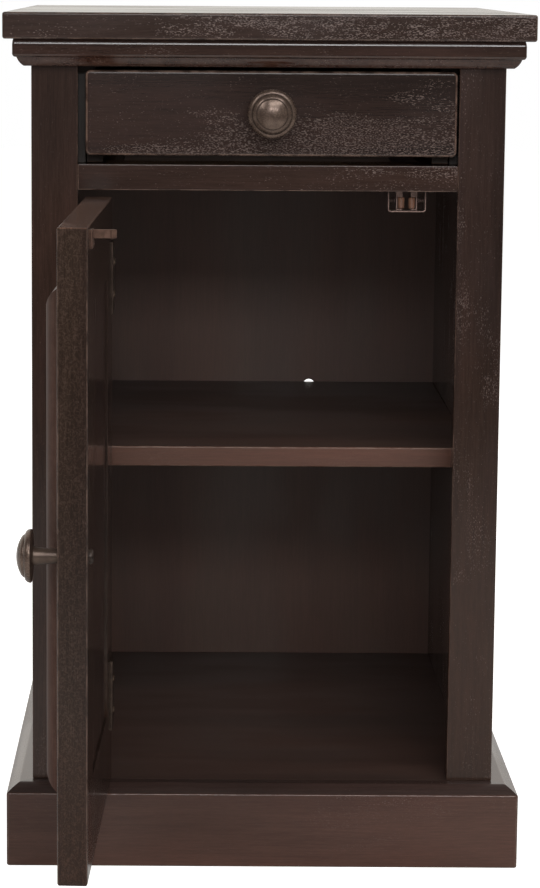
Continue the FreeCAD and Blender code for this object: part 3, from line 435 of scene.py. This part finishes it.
# ---------------------------------------------------------------------------------------------
# Soft edges on the CAD boards and sheet metal, through modifiers only
# ---------------------------------------------------------------------------------------------
def tidy_group():
    """Node group that joins split vertices, drops stored normals and shades smooth."""
    tree = bpy.data.node_groups.new("join_and_smooth", "GeometryNodeTree")
    tree.interface.new_socket("Geometry", in_out="INPUT", socket_type="NodeSocketGeometry")
    tree.interface.new_socket("Geometry", in_out="OUTPUT", socket_type="NodeSocketGeometry")
    start = tree.nodes.new("NodeGroupInput")
    drop = tree.nodes.new("GeometryNodeRemoveAttribute")
    drop.inputs["Name"].default_value = "custom_normal"
    join = tree.nodes.new("GeometryNodeMergeByDistance")
    join.inputs["Distance"].default_value = 0.002 * MM
    faces = tree.nodes.new("GeometryNodeSetShadeSmooth")
    edges = tree.nodes.new("GeometryNodeSetShadeSmooth")
    edges.domain = "EDGE"
    end = tree.nodes.new("NodeGroupOutput")
    chain = [start, drop, join, faces, edges, end]
    for before, after in zip(chain, chain[1:]):
        tree.links.new(before.outputs[0], after.inputs[0])
    return tree


TIDY = tidy_group()
# bevel widths in mm
EDGE_WIDTHS = {
    "front_stile_left": 0.9, "front_stile_right": 0.9, "mid_rail": 0.9, "top_rail": 0.5,
    "door_stile_hinge": 0.2, "door_stile_free": 0.2, "door_rail_top": 0.2, "door_rail_bottom": 0.2,
    "side_panel_left": 0.7, "side_panel_right": 0.7, "shelf": 0.5, "floor_panel": 0.4,
    "drawer_front": 0.9, "drawer_side_left": 1.2, "drawer_side_right": 1.2, "drawer_back": 0.8,
    "drawer_bottom": 0.3, "drawer_runner_left": 0.6, "drawer_runner_right": 0.6,
    "drawer_kicker_left": 0.6, "drawer_kicker_right": 0.6, "rear_rail": 0.6,
    "back_panel": 0.3, "base_board_back": 0.8, "base_corner_blocks": 0.6, "door_panel": 0.4,
    "catch_bracket": 0.18, "strike_plate": 0.15, "shelf_supports": 0.25,
    "catch_yoke_left": 0.12, "catch_yoke_right": 0.12,
    "catch_roller_left": 0.25, "catch_roller_right": 0.25,
    "hinge_frame_leaf_upper": 0.15, "hinge_frame_leaf_lower": 0.15,
    "hinge_door_leaf_upper": 0.15, "hinge_door_leaf_lower": 0.15,
}
BEVEL_ANGLE = math.radians(38)


def weigh_normals(obj):
    weigh = obj.modifiers.new("normals", "WEIGHTED_NORMAL")
    weigh.weight = 60
    weigh.keep_sharp = True


def soften(obj, width):
    tidy = obj.modifiers.new("join", "NODES")
    tidy.node_group = TIDY
    bevel = obj.modifiers.new("edge", "BEVEL")
    bevel.width = width * MM
    bevel.segments = 3
    bevel.limit_method = "ANGLE"
    bevel.angle_limit = BEVEL_ANGLE
    bevel.use_clamp_overlap = False
    bevel.miter_outer = "MITER_ARC"
    weigh_normals(obj)


for node_name, width in EDGE_WIDTHS.items():
    soften(nodes[node_name], width)


# ---------------------------------------------------------------------------------------------
# Mesh helpers
# ---------------------------------------------------------------------------------------------
X, Y, Z = Vector((1, 0, 0)), Vector((0, 1, 0)), Vector((0, 0, 1))
SLIGHT_TURN, EASE_STEPS, CORNER_STEPS = math.radians(15), 3, 5


def piece(name, mesh_builder, key, body, stands_for=(), sharp=40.0):
    """Object from a bmesh, with its material and body; the CAD nodes that it stands for are hidden.
    """
    mesh = bpy.data.meshes.new(name)
    bmesh.ops.recalc_face_normals(mesh_builder, faces=mesh_builder.faces)
    mesh_builder.to_mesh(mesh)
    mesh_builder.free()
    mesh.shade_smooth()
    mesh.set_sharp_from_angle(angle=math.radians(sharp))
    obj = bpy.data.objects.new(name, mesh)
    bpy.context.scene.collection.objects.link(obj)
    dress(obj, key)
    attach(obj, body)
    if stands_for:
        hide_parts(*stands_for)
    return obj


def arc(centre, radius, start, end, count):
    """Points on an arc in profile space; angles in degrees."""
    points = []
    for i in range(count + 1):
        angle = math.radians(start + (end - start) * i / count)
        points.append((centre[0] + radius * math.cos(angle), centre[1] + radius * math.sin(angle)))
    return points


def bow(start, end, rise, count):
    """Points from start to end on an arc that bulges by rise to the left of the run."""
    (x0, y0), (x1, y1) = start, end
    chord = math.hypot(x1 - x0, y1 - y0)
    radius = (chord * chord / 4 + rise * rise) / (2 * abs(rise))
    half = math.asin(min(1.0, chord / (2 * radius)))
    nx, ny = -(y1 - y0) / chord, (x1 - x0) / chord
    points = []
    for i in range(count + 1):
        t = -half + 2 * half * i / count
        along_run = 0.5 + math.sin(t) / (2 * math.sin(half))
        lift = (math.cos(t) - math.cos(half)) / (1 - math.cos(half)) * rise
        x = x0 + (x1 - x0) * along_run + nx * lift
        y = y0 + (y1 - y0) * along_run + ny * lift
        points.append((x, y))
    return points


def eased(points, ease):
    """Profile whose corners become small curves, except the slight ones and both ends.

    Each curve starts ease before its corner, or nearly half way along a run that is too short.
    """
    result = [points[0]]
    for before, corner, after in zip(points, points[1:], points[2:]):
        middle = Vector(corner)
        into, out = Vector(before) - middle, Vector(after) - middle
        if into.length < 1e-6 or out.length < 1e-6 or math.pi - into.angle(out) < SLIGHT_TURN:
            result.append(corner)
            continue
        start = middle + into.normalized() * min(ease, into.length * 0.45)
        end = middle + out.normalized() * min(ease, out.length * 0.45)
        for step in range(EASE_STEPS + 1):
            t = step / EASE_STEPS
            result.append(tuple(start * (1 - t) ** 2 + middle * (2 * t * (1 - t)) + end * t * t))
    result.append(points[-1])
    return result


def lathe(profile, seat, matrix, segments=96, builder=None):
    """Turned solid about an axis from seat along -Y, then placed by the matrix.

    profile is (radius, height, recess) from that axis and seat, in mm. Recess says how dark the
    metal is there, from 0 to 1.
    """
    builder = builder or bmesh.new()
    layer = builder.verts.layers.float.get("recess") or builder.verts.layers.float.new("recess")
    rings = []
    for radius, height, recess in profile:
        ring = []
        if radius < 1e-6:
            vertex = builder.verts.new(matrix @ (seat + Vector((0, -height * MM, 0))))
            vertex[layer] = recess
            ring = [vertex] * segments
        else:
            for i in range(segments):
                angle = 2 * math.pi * i / segments
                spot = seat + Vector((radius * math.cos(angle), 0, radius * math.sin(angle))) * MM
                vertex = builder.verts.new(matrix @ (spot + Vector((0, -height * MM, 0))))
                vertex[layer] = recess
                ring.append(vertex)
        rings.append(ring)
    for low, high in zip(rings, rings[1:]):
        for i in range(segments):
            j = (i + 1) % segments
            corners = list(dict.fromkeys([low[i], low[j], high[j], high[i]]))
            if len(corners) > 2:
                builder.faces.new(corners)
    return builder


def join_rings(builder, rings):
    """Skin between closed rings with the same number of points, and a cap at each end."""
    count = len(rings[0])
    for low, high in zip(rings, rings[1:]):
        for i in range(count):
            j = (i + 1) % count
            builder.faces.new((low[i], low[j], high[j], high[i]))
    builder.faces.new(list(reversed(rings[0])))
    builder.faces.new(rings[-1])


def bar(profile, start, run, out, up, mitre, corner=0.0):
    """Solid swept along a straight run, in mm.

    profile is a closed list of (out, up) points. Each end of the run grows by mitre times the
    out distance, and an outer corner of that radius is rounded over half its turn.
    """
    direction = run.normalized()
    threshold = max(point[0] for point in profile) - corner
    turns = [math.radians(45) * i / CORNER_STEPS for i in range(CORNER_STEPS + 1)]
    builder = bmesh.new()

    def section(foot, sign, growth, turn):
        """Ring at one end of the run: sign is -1 at its start and 1 at its end."""
        ring = []
        for out_mm, up_mm in profile:
            past, reach = growth * out_mm, out_mm
            if growth > 0 and corner > 0 and out_mm > threshold:
                radius = out_mm - threshold
                past = threshold + radius * math.sin(turn)
                reach = threshold + radius * math.cos(turn)
            place = start + direction * (foot + sign * past) + out * reach + up * up_mm
            ring.append(builder.verts.new(place * MM))
        return ring

    rings = []
    for turn in reversed(turns if corner and mitre[0] > 0 else turns[:1]):
        rings.append(section(0.0, -1, mitre[0], turn))
    for turn in turns if corner and mitre[1] > 0 else turns[:1]:
        rings.append(section(run.length, 1, mitre[1], turn))
    join_rings(builder, rings)
    bmesh.ops.remove_doubles(builder, verts=builder.verts, dist=0.001 * MM)
    bmesh.ops.dissolve_degenerate(builder, edges=builder.edges, dist=0.001 * MM)
    return builder


# ---------------------------------------------------------------------------------------------
# Moulding under the top and the plinth boards
# ---------------------------------------------------------------------------------------------
HALF_WIDTH, FRONT, BACK = 171.0, -207.5, 226.0
MOULDING_FOOT = 589.5


def cornice_section():
    """Ovolo, small step and a fascia with a rounded top edge, as (out, up) in mm."""
    points = [(0.0, 0.0)]
    points += bow((5.0, 0.0), (10.0, 6.5), -0.7, 8)
    points += bow((11.0, 6.5), (13.0, 9.5), -0.7, 6)
    points += bow((13.0, 15.5), (12.1, 19.5), -0.15, 8)
    points += [(0.0, 19.5)]
    return eased(points, 0.35)


def plinth_section():
    """Upright board with a flat top that falls away in a nearly plane bevel, as (out, up) in mm."""
    points = [(0.0, 0.0)]
    points += arc((17.0, 1.5), 1.5, -90, 0, 5)
    points += bow((18.5, 55.0), (9.0, 62.0), -0.4, 8)
    points += [(0.0, 62.0)]
    return eased(points, 1.0)


# stem of the name, section, height of its foot, material, radius of the outer corners
BANDS = (
    ("top_moulding", cornice_section(), MOULDING_FOOT, "band", 1.6),
    ("base_board", plinth_section(), 0.0, "base", 2.2),
)
for stem, section, level, tone, rounding in BANDS:
    front_start = Vector((-HALF_WIDTH, FRONT, level))
    front_bar = bar(section, front_start, X * (2 * HALF_WIDTH), -Y, Z, (1, 1), rounding)
    weigh_normals(piece(
        stem + "_front_fine", front_bar, tone + "_x", "carcass", [stem + "_front"],
    ))
    for side, out, label in ((-1, -X, "left"), (1, X, "right")):
        side_start = Vector((side * HALF_WIDTH, FRONT, level))
        side_bar = bar(section, side_start, Y * (BACK - FRONT), out, Z, (1, 0), rounding)
        name = stem + "_" + label
        weigh_normals(piece(
            name + "_fine", side_bar, tone + "_y", "carcass", [name],
        ))


# ---------------------------------------------------------------------------------------------
# Table top
# ---------------------------------------------------------------------------------------------
def rounded_board(low, high, radius, segments):
    """Box with all edges rounded, corners in mm."""
    builder = bmesh.new()
    bmesh.ops.create_cube(builder, size=1.0)
    middle, size = (low + high) / 2, high - low
    for vertex in builder.verts:
        vertex.co = (middle + Vector(a * b for a, b in zip(vertex.co, size))) * MM
    bmesh.ops.bevel(
        builder, geom=list(builder.edges), offset=radius * MM, segments=segments, profile=0.5,
        affect="EDGES",
    )
    return builder


TOP_LOW, TOP_HIGH, TOP_EDGE = Vector((-190.5, -228.5, 609)), Vector((190.5, 228.5, 628)), 1.8
top_board = rounded_board(TOP_LOW, TOP_HIGH, TOP_EDGE, 5)
weigh_normals(piece("table_top_fine", top_board, "top", "carcass", ["table_top"]))


# ---------------------------------------------------------------------------------------------
# Door beads
# ---------------------------------------------------------------------------------------------
def bead_section():
    """Raised bead as (towards the panel, out of the face) in mm, from its outer foot."""
    points = bow((0.0, 0.0), (13.0, 11.0), 2.2, 12)
    points += bow((15.0, 11.0), (22.0, -5.5), -2.0, 10)
    points += [(11.5, -5.5), (11.5, 0.0)]
    return eased(points, 0.5)


BEAD_LEFT, BEAD_RIGHT, BEAD_LOW, BEAD_HIGH = -91.5, 92.0, 113.0, 454.0
BEADS = {
    "hinge": (Vector((BEAD_LEFT, FRONT, BEAD_LOW)), Z * (BEAD_HIGH - BEAD_LOW), X, "bead_z"),
    "free": (Vector((BEAD_RIGHT, FRONT, BEAD_LOW)), Z * (BEAD_HIGH - BEAD_LOW), -X, "bead_z"),
    "bottom": (Vector((BEAD_LEFT, FRONT, BEAD_LOW)), X * (BEAD_RIGHT - BEAD_LEFT), Z, "bead_y"),
    "top": (Vector((BEAD_LEFT, FRONT, BEAD_HIGH)), X * (BEAD_RIGHT - BEAD_LEFT), -Z, "bead_y"),
}
for label, (start, run, inward, tone) in BEADS.items():
    bead_bar = bar(bead_section(), start, run, inward, -Y, (-1, -1))
    bmesh.ops.transform(bead_bar, matrix=DOOR_TURN, verts=bead_bar.verts)
    name = "door_bead_" + label
    weigh_normals(piece(name + "_fine", bead_bar, tone, "door", [name]))


# ---------------------------------------------------------------------------------------------
# Knobs
# ---------------------------------------------------------------------------------------------
KNOB_GROOVES = ((14.35, 21.9), (11.1, 24.8))
KNOB_BACK, DOME_FOOT, DOME_BASE, KNOB_CROWN = 17.8, 10.9, 25.5, 28.0
BACK_RECESS, GROOVE_REACH, DOME_STEPS = 0.4, 0.8, 16


def knob_recess(radius, height):
    """How deep a point lies in a groove or behind the rim, from 0 to 1."""
    if height <= KNOB_BACK:
        return BACK_RECESS
    nearest = min(math.hypot(radius - r, height - h) for r, h in KNOB_GROOVES)
    return max(0.0, 1.0 - nearest / GROOVE_REACH)


def knob_profile():
    """(radius, height, recess) from the foot of the stem out to the crown, in mm."""
    points = [(2.05, 0.0), (5.0, 0.0), (5.0, 6.0)]
    points += bow((6.0, 15.8), (7.5, KNOB_BACK), 0.4, 6)
    points += bow((17.0, KNOB_BACK), (17.6, 18.4), -0.176, 5)
    points += bow((17.6, 19.2), (14.6, 22.2), -0.75, 10)
    points += [(14.6, 21.7), (14.1, 21.7)]
    points += bow((14.1, 23.0), (11.3, 25.2), -0.35, 8)
    points += [(11.3, 24.7), (10.9, 24.7)]
    rise = KNOB_CROWN - DOME_BASE
    sphere = (DOME_FOOT ** 2 + rise ** 2) / (2 * rise)
    half = math.asin(DOME_FOOT / sphere)
    for i in range(DOME_STEPS + 1):
        turn = half * (1 - i / DOME_STEPS)
        points.append((sphere * math.sin(turn), KNOB_CROWN - sphere * (1 - math.cos(turn))))
    return [(radius, height, knob_recess(radius, height)) for radius, height in eased(points, 0.3)]


def knob_mesh(seat, matrix):
    """Knob with the blind bore for its screw, on a seat in mm."""
    bore = [(0.0, 14.0, 1.0), (2.05, 14.0, 1.0)]
    return lathe(bore + knob_profile(), seat * MM, matrix)


KNOB_SEATS = {
    "drawer": (Vector((2.15, FRONT, 556.8)), Matrix.Identity(4)),
    "door": (Vector((113.0, FRONT, 279.75)), DOOR_TURN),
}
for body, (seat, matrix) in KNOB_SEATS.items():
    piece(body + "_knob_fine", knob_mesh(seat, matrix), "bronze", body,
          [body + "_knob"], sharp=50)


# ---------------------------------------------------------------------------------------------
# Brads that hold the back panel in the rebates of the sides
# ---------------------------------------------------------------------------------------------
BRAD_X, BRAD_LEVELS = 160.0, (84.0, 172.0, 260.0, 348.0, 436.0, 524.0, 598.0)
BRAD_OUTLINE = (
    (0.0, -0.4), (1.5, -0.4), (1.5, 0.1), (1.35, 0.35), (1.0, 0.55), (0.5, 0.67), (0.0, 0.7),
)
BRAD_HEAD = [(radius, height, 0.0) for radius, height in BRAD_OUTLINE]
half_turn = Matrix.Rotation(math.pi, 4, "Z")
rear_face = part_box("back_panel")[1].y / MM
brads = bmesh.new()
for x in (-BRAD_X, BRAD_X):
    for level in BRAD_LEVELS:
        lathe(BRAD_HEAD, Vector((x, -rear_face, level)) * MM, half_turn, 20, brads)
piece("back_panel_brads", brads, "dark_screw", "carcass", sharp=60)


# ---------------------------------------------------------------------------------------------
# Blocks behind the stiles that guide the drawer box; they show in the gaps beside the drawer
# ---------------------------------------------------------------------------------------------
GUIDE_CLEARANCE, GUIDE_DEPTH, GUIDE_EDGE, KICKER_GAP = 0.8, 24.0, 0.6, 0.2
stile_box, rail_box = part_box("front_stile_right"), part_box("mid_rail")
side_box, kicker_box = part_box("side_panel_right"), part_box("drawer_kicker_right")
guide_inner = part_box("drawer_side_right")[1].x / MM + GUIDE_CLEARANCE
guide_outer, guide_front = side_box[0].x / MM, stile_box[1].y / MM
for sign, label in ((-1, "left"), (1, "right")):
    spans = sorted((sign * guide_inner, sign * guide_outer))
    low = Vector((spans[0], guide_front, rail_box[1].z / MM))
    high = Vector((spans[1], guide_front + GUIDE_DEPTH, kicker_box[0].z / MM - KICKER_GAP))
    block = rounded_board(low, high, GUIDE_EDGE, 2)
    weigh_normals(piece("drawer_guide_block_" + label, block, "guide", "carcass"))


# ---------------------------------------------------------------------------------------------
# Catch springs, which the yokes press together
# ---------------------------------------------------------------------------------------------
SPRING_WIRE, SPRING_TURNS, SPRING_STEPS, WIRE_SIDES = 0.25, 4, 30, 10


def spring_mesh(low, high, sign):
    """Coil wound about X inside the box of its CAD solid, from its yoke end outwards."""
    builder = bmesh.new()
    middle, wire = (low + high) / 2, SPRING_WIRE * MM
    radius = (high.z - low.z) / 2 - wire
    half_run = (high.x - low.x) / 2 - wire
    steps = SPRING_TURNS * SPRING_STEPS
    rings = []
    for step in range(steps + 1):
        turn = 2 * math.pi * step / SPRING_STEPS
        radial = Y * math.sin(turn) + Z * math.cos(turn)
        centre = middle + X * (sign * half_run * (2 * step / steps - 1)) + radial * radius
        ahead = (Y * math.cos(turn) - Z * math.sin(turn)) * (2 * math.pi * SPRING_TURNS * radius)
        across = (ahead + X * (sign * 2 * half_run)).cross(radial).normalized()
        ring = []
        for side in range(WIRE_SIDES):
            angle = 2 * math.pi * side / WIRE_SIDES
            spoke = radial * math.cos(angle) + across * math.sin(angle)
            ring.append(builder.verts.new(centre + spoke * wire))
        rings.append(ring)
    join_rings(builder, rings)
    return builder


for sign, label in ((-1, "left"), (1, "right")):
    low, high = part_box("catch_spring_" + label)
    spring = piece(
        "catch_spring_" + label + "_fine", spring_mesh(low, high, sign), "zinc",
        "carcass", ["catch_spring_" + label],
    )
    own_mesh(spring)


# ---------------------------------------------------------------------------------------------
# Studio: pale floor, soft lights, white surround
# ---------------------------------------------------------------------------------------------
SEEN = ("Is Camera Ray", "Is Glossy Ray", "Is Transmission Ray")
FLOOR_SIZE, FLOOR_LIFT, FLOOR_GLOSS_LIFT = 9.0, 0.8, 0.05
FLOOR_GREEN, FLOOR_BLUE = 0.975, 0.93
# how bright the room's front is in reflections, and where it brightens: a depth on the floor in
# metres, and the Y of a direction in the surround
DIM_SIDE, FLOOR_FADE, BACKDROP_FADE = 0.15, (-2.4, -1.0), (0.05, 0.5)
AMBIENT_COLOUR, AMBIENT_STRENGTH = (0.99, 0.99, 1.0, 1.0), 0.26
WHITE, REFLECTED_WHITE = (1.0, 1.0, 1.0, 1.0), (1.0, 0.965, 0.90, 1.0)


def floor_material():
    """Pale floor. In reflections it fades a step in front of the object, where no lamp is."""
    material, shader = new_material("studio_floor")
    place = object_place(shader, ORIGIN)
    camera_ray, glossy_ray, clear_ray = [shader.add("LightPath").outputs[name] for name in SEEN]
    depth = shader.add("SeparateXYZ", {0: place}).outputs[DEPTH]
    fade = shader.ramp(depth, *FLOOR_FADE, DIM_SIDE, 1.0)
    keep = shader.math("MAXIMUM", fade, shader.math("SUBTRACT", 1.0, glossy_ray))
    tone = shader.ramp(shader.noise(place, (1.5,) * 3, 2.0), 0.3, 0.7, 0.80, 0.82)
    tone = shader.math("MULTIPLY", tone, keep)
    green, blue = [shader.math("MULTIPLY", tone, share) for share in (FLOOR_GREEN, FLOOR_BLUE)]
    pale = shader.add("CombineColor", {0: tone, 1: green, 2: blue}).outputs[0]
    matte = shader.add("BsdfDiffuse", {"Color": pale})
    lift = shader.math("MULTIPLY", shader.math("MAXIMUM", camera_ray, clear_ray), FLOOR_LIFT)
    gloss_lift = shader.math("MULTIPLY", glossy_ray, keep)
    gloss_lift = shader.math("MULTIPLY", gloss_lift, FLOOR_GLOSS_LIFT)
    glow = shader.add("Emission", {"Strength": shader.math("ADD", lift, gloss_lift)})
    both = shader.add("AddShader", {0: matte.outputs[0], 1: glow.outputs[0]})
    shader.add("OutputMaterial", {"Surface": both.outputs[0]})
    return material


floor_builder = bmesh.new()
bmesh.ops.create_grid(floor_builder, x_segments=8, y_segments=8, size=FLOOR_SIZE)
floor_mesh = bpy.data.meshes.new("studio_floor")
floor_builder.to_mesh(floor_mesh)
floor_builder.free()
floor = bpy.data.objects.new("studio_floor", floor_mesh)
bpy.context.scene.collection.objects.link(floor)
floor.data.materials.append(floor_material())


def softbox(name, azimuth, elevation, distance, size, watts, aim, glossy=True):
    """Area light seen from aim at the azimuth (right of straight in front) and elevation."""
    turn, rise = math.radians(azimuth), math.radians(elevation)
    towards = Vector((
        math.sin(turn) * math.cos(rise), -math.cos(turn) * math.cos(rise), math.sin(rise),
    ))
    lamp = bpy.data.lights.new(name, "AREA")
    lamp.shape = "RECTANGLE"
    lamp.size, lamp.size_y = size
    lamp.energy = watts
    obj = bpy.data.objects.new(name, lamp)
    bpy.context.scene.collection.objects.link(obj)
    obj.location = Vector(aim) + towards * distance
    obj.rotation_euler = (-towards).to_track_quat("-Z", "Y").to_euler()
    obj.visible_camera = False
    obj.visible_glossy = glossy


DRAWER_AIM, MIDDLE_AIM, CUPBOARD_AIM = (0.0, -0.22, 0.555), (0.0, 0.0, 0.30), (0.0, 0.0, 0.32)
# name, azimuth and elevation in degrees, distance and size in metres, watts, aim, glossy
SOFTBOXES = (
    ("softbox_left", -38, 31, 2.2, (0.58, 1.0), 10, DRAWER_AIM),
    ("softbox_centre", 9, 34, 2.2, (1.22, 0.46), 14, DRAWER_AIM),
    ("softbox_right", 37.5, 40, 2.2, (0.58, 0.8), 8.5, DRAWER_AIM),
    ("softbox_low", 4, 19, 2.6, (1.3, 0.26), 14, CUPBOARD_AIM),
    ("softbox_fill", 0, 8, 3.2, (2.6, 1.0), 18, MIDDLE_AIM, False),
    ("softbox_rear_left", -128, 32, 3.0, (1.2, 1.2), 24, MIDDLE_AIM, False),
    ("softbox_rear_right", 128, 32, 3.0, (1.2, 1.2), 20, MIDDLE_AIM, False),
)
for row in SOFTBOXES:
    softbox(*row)

world = bpy.data.worlds.new("studio")
bpy.context.scene.world = world
world.use_nodes = True
sky = Shader(world.node_tree)
ambient = sky.add("Background", {"Color": AMBIENT_COLOUR, "Strength": AMBIENT_STRENGTH})
# what glossy surfaces see: the white backdrop behind the object, and a dim room elsewhere
direction = sky.add("SeparateXYZ", {0: sky.add("TexCoord").outputs["Generated"]})
backdrop = sky.ramp(direction.outputs[DEPTH], *BACKDROP_FADE, DIM_SIDE, 1.0)
path = sky.add("LightPath")
seen = [path.outputs[name] for name in SEEN]
level = highest(sky, [backdrop, seen[0], seen[2]])
tone = sky.mix(seen[1], WHITE, REFLECTED_WHITE)
white = sky.add("Background", {"Color": tone, "Strength": level})
shown = highest(sky, seen)
surround = sky.add("MixShader", {0: shown, 1: ambient.outputs[0], 2: white.outputs[0]})
sky.add("OutputWorld", {"Surface": surround.outputs[0]})


# ---------------------------------------------------------------------------------------------
# Camera, fitted to points measured in the 540 x 888 photograph
# ---------------------------------------------------------------------------------------------
PICTURE_WIDTH, PICTURE_HEIGHT = 540, 888
FOCAL_PIXELS, CENTRE_X, CENTRE_Y = 3018.05, 200.85, 444.06
CAMERA_PLACE = (-0.05412, -2.39292, 0.65631)
PAN, PITCH_DOWN, ROLL = -0.181, 8.878, 0.3705
SENSOR = 24.0
camera_data = bpy.data.cameras.new("camera")
camera_data.sensor_fit = "VERTICAL"
camera_data.sensor_height = SENSOR
camera_data.lens = FOCAL_PIXELS * SENSOR / PICTURE_HEIGHT
camera_data.shift_x = (PICTURE_WIDTH / 2 - CENTRE_X) / PICTURE_HEIGHT
camera_data.shift_y = (CENTRE_Y - PICTURE_HEIGHT / 2) / PICTURE_HEIGHT
camera_data.clip_end = 50.0
camera = bpy.data.objects.new("camera", camera_data)
bpy.context.scene.collection.objects.link(camera)
camera.matrix_world = (
    Matrix.Translation(CAMERA_PLACE)
    @ Matrix.Rotation(math.radians(PAN), 4, "Z")
    @ Matrix.Rotation(math.radians(90 - PITCH_DOWN), 4, "X")
    @ Matrix.Rotation(math.radians(ROLL), 4, "Z")
)
bpy.context.scene.camera = camera
bpy.context.scene.view_settings.view_transform = "Standard"
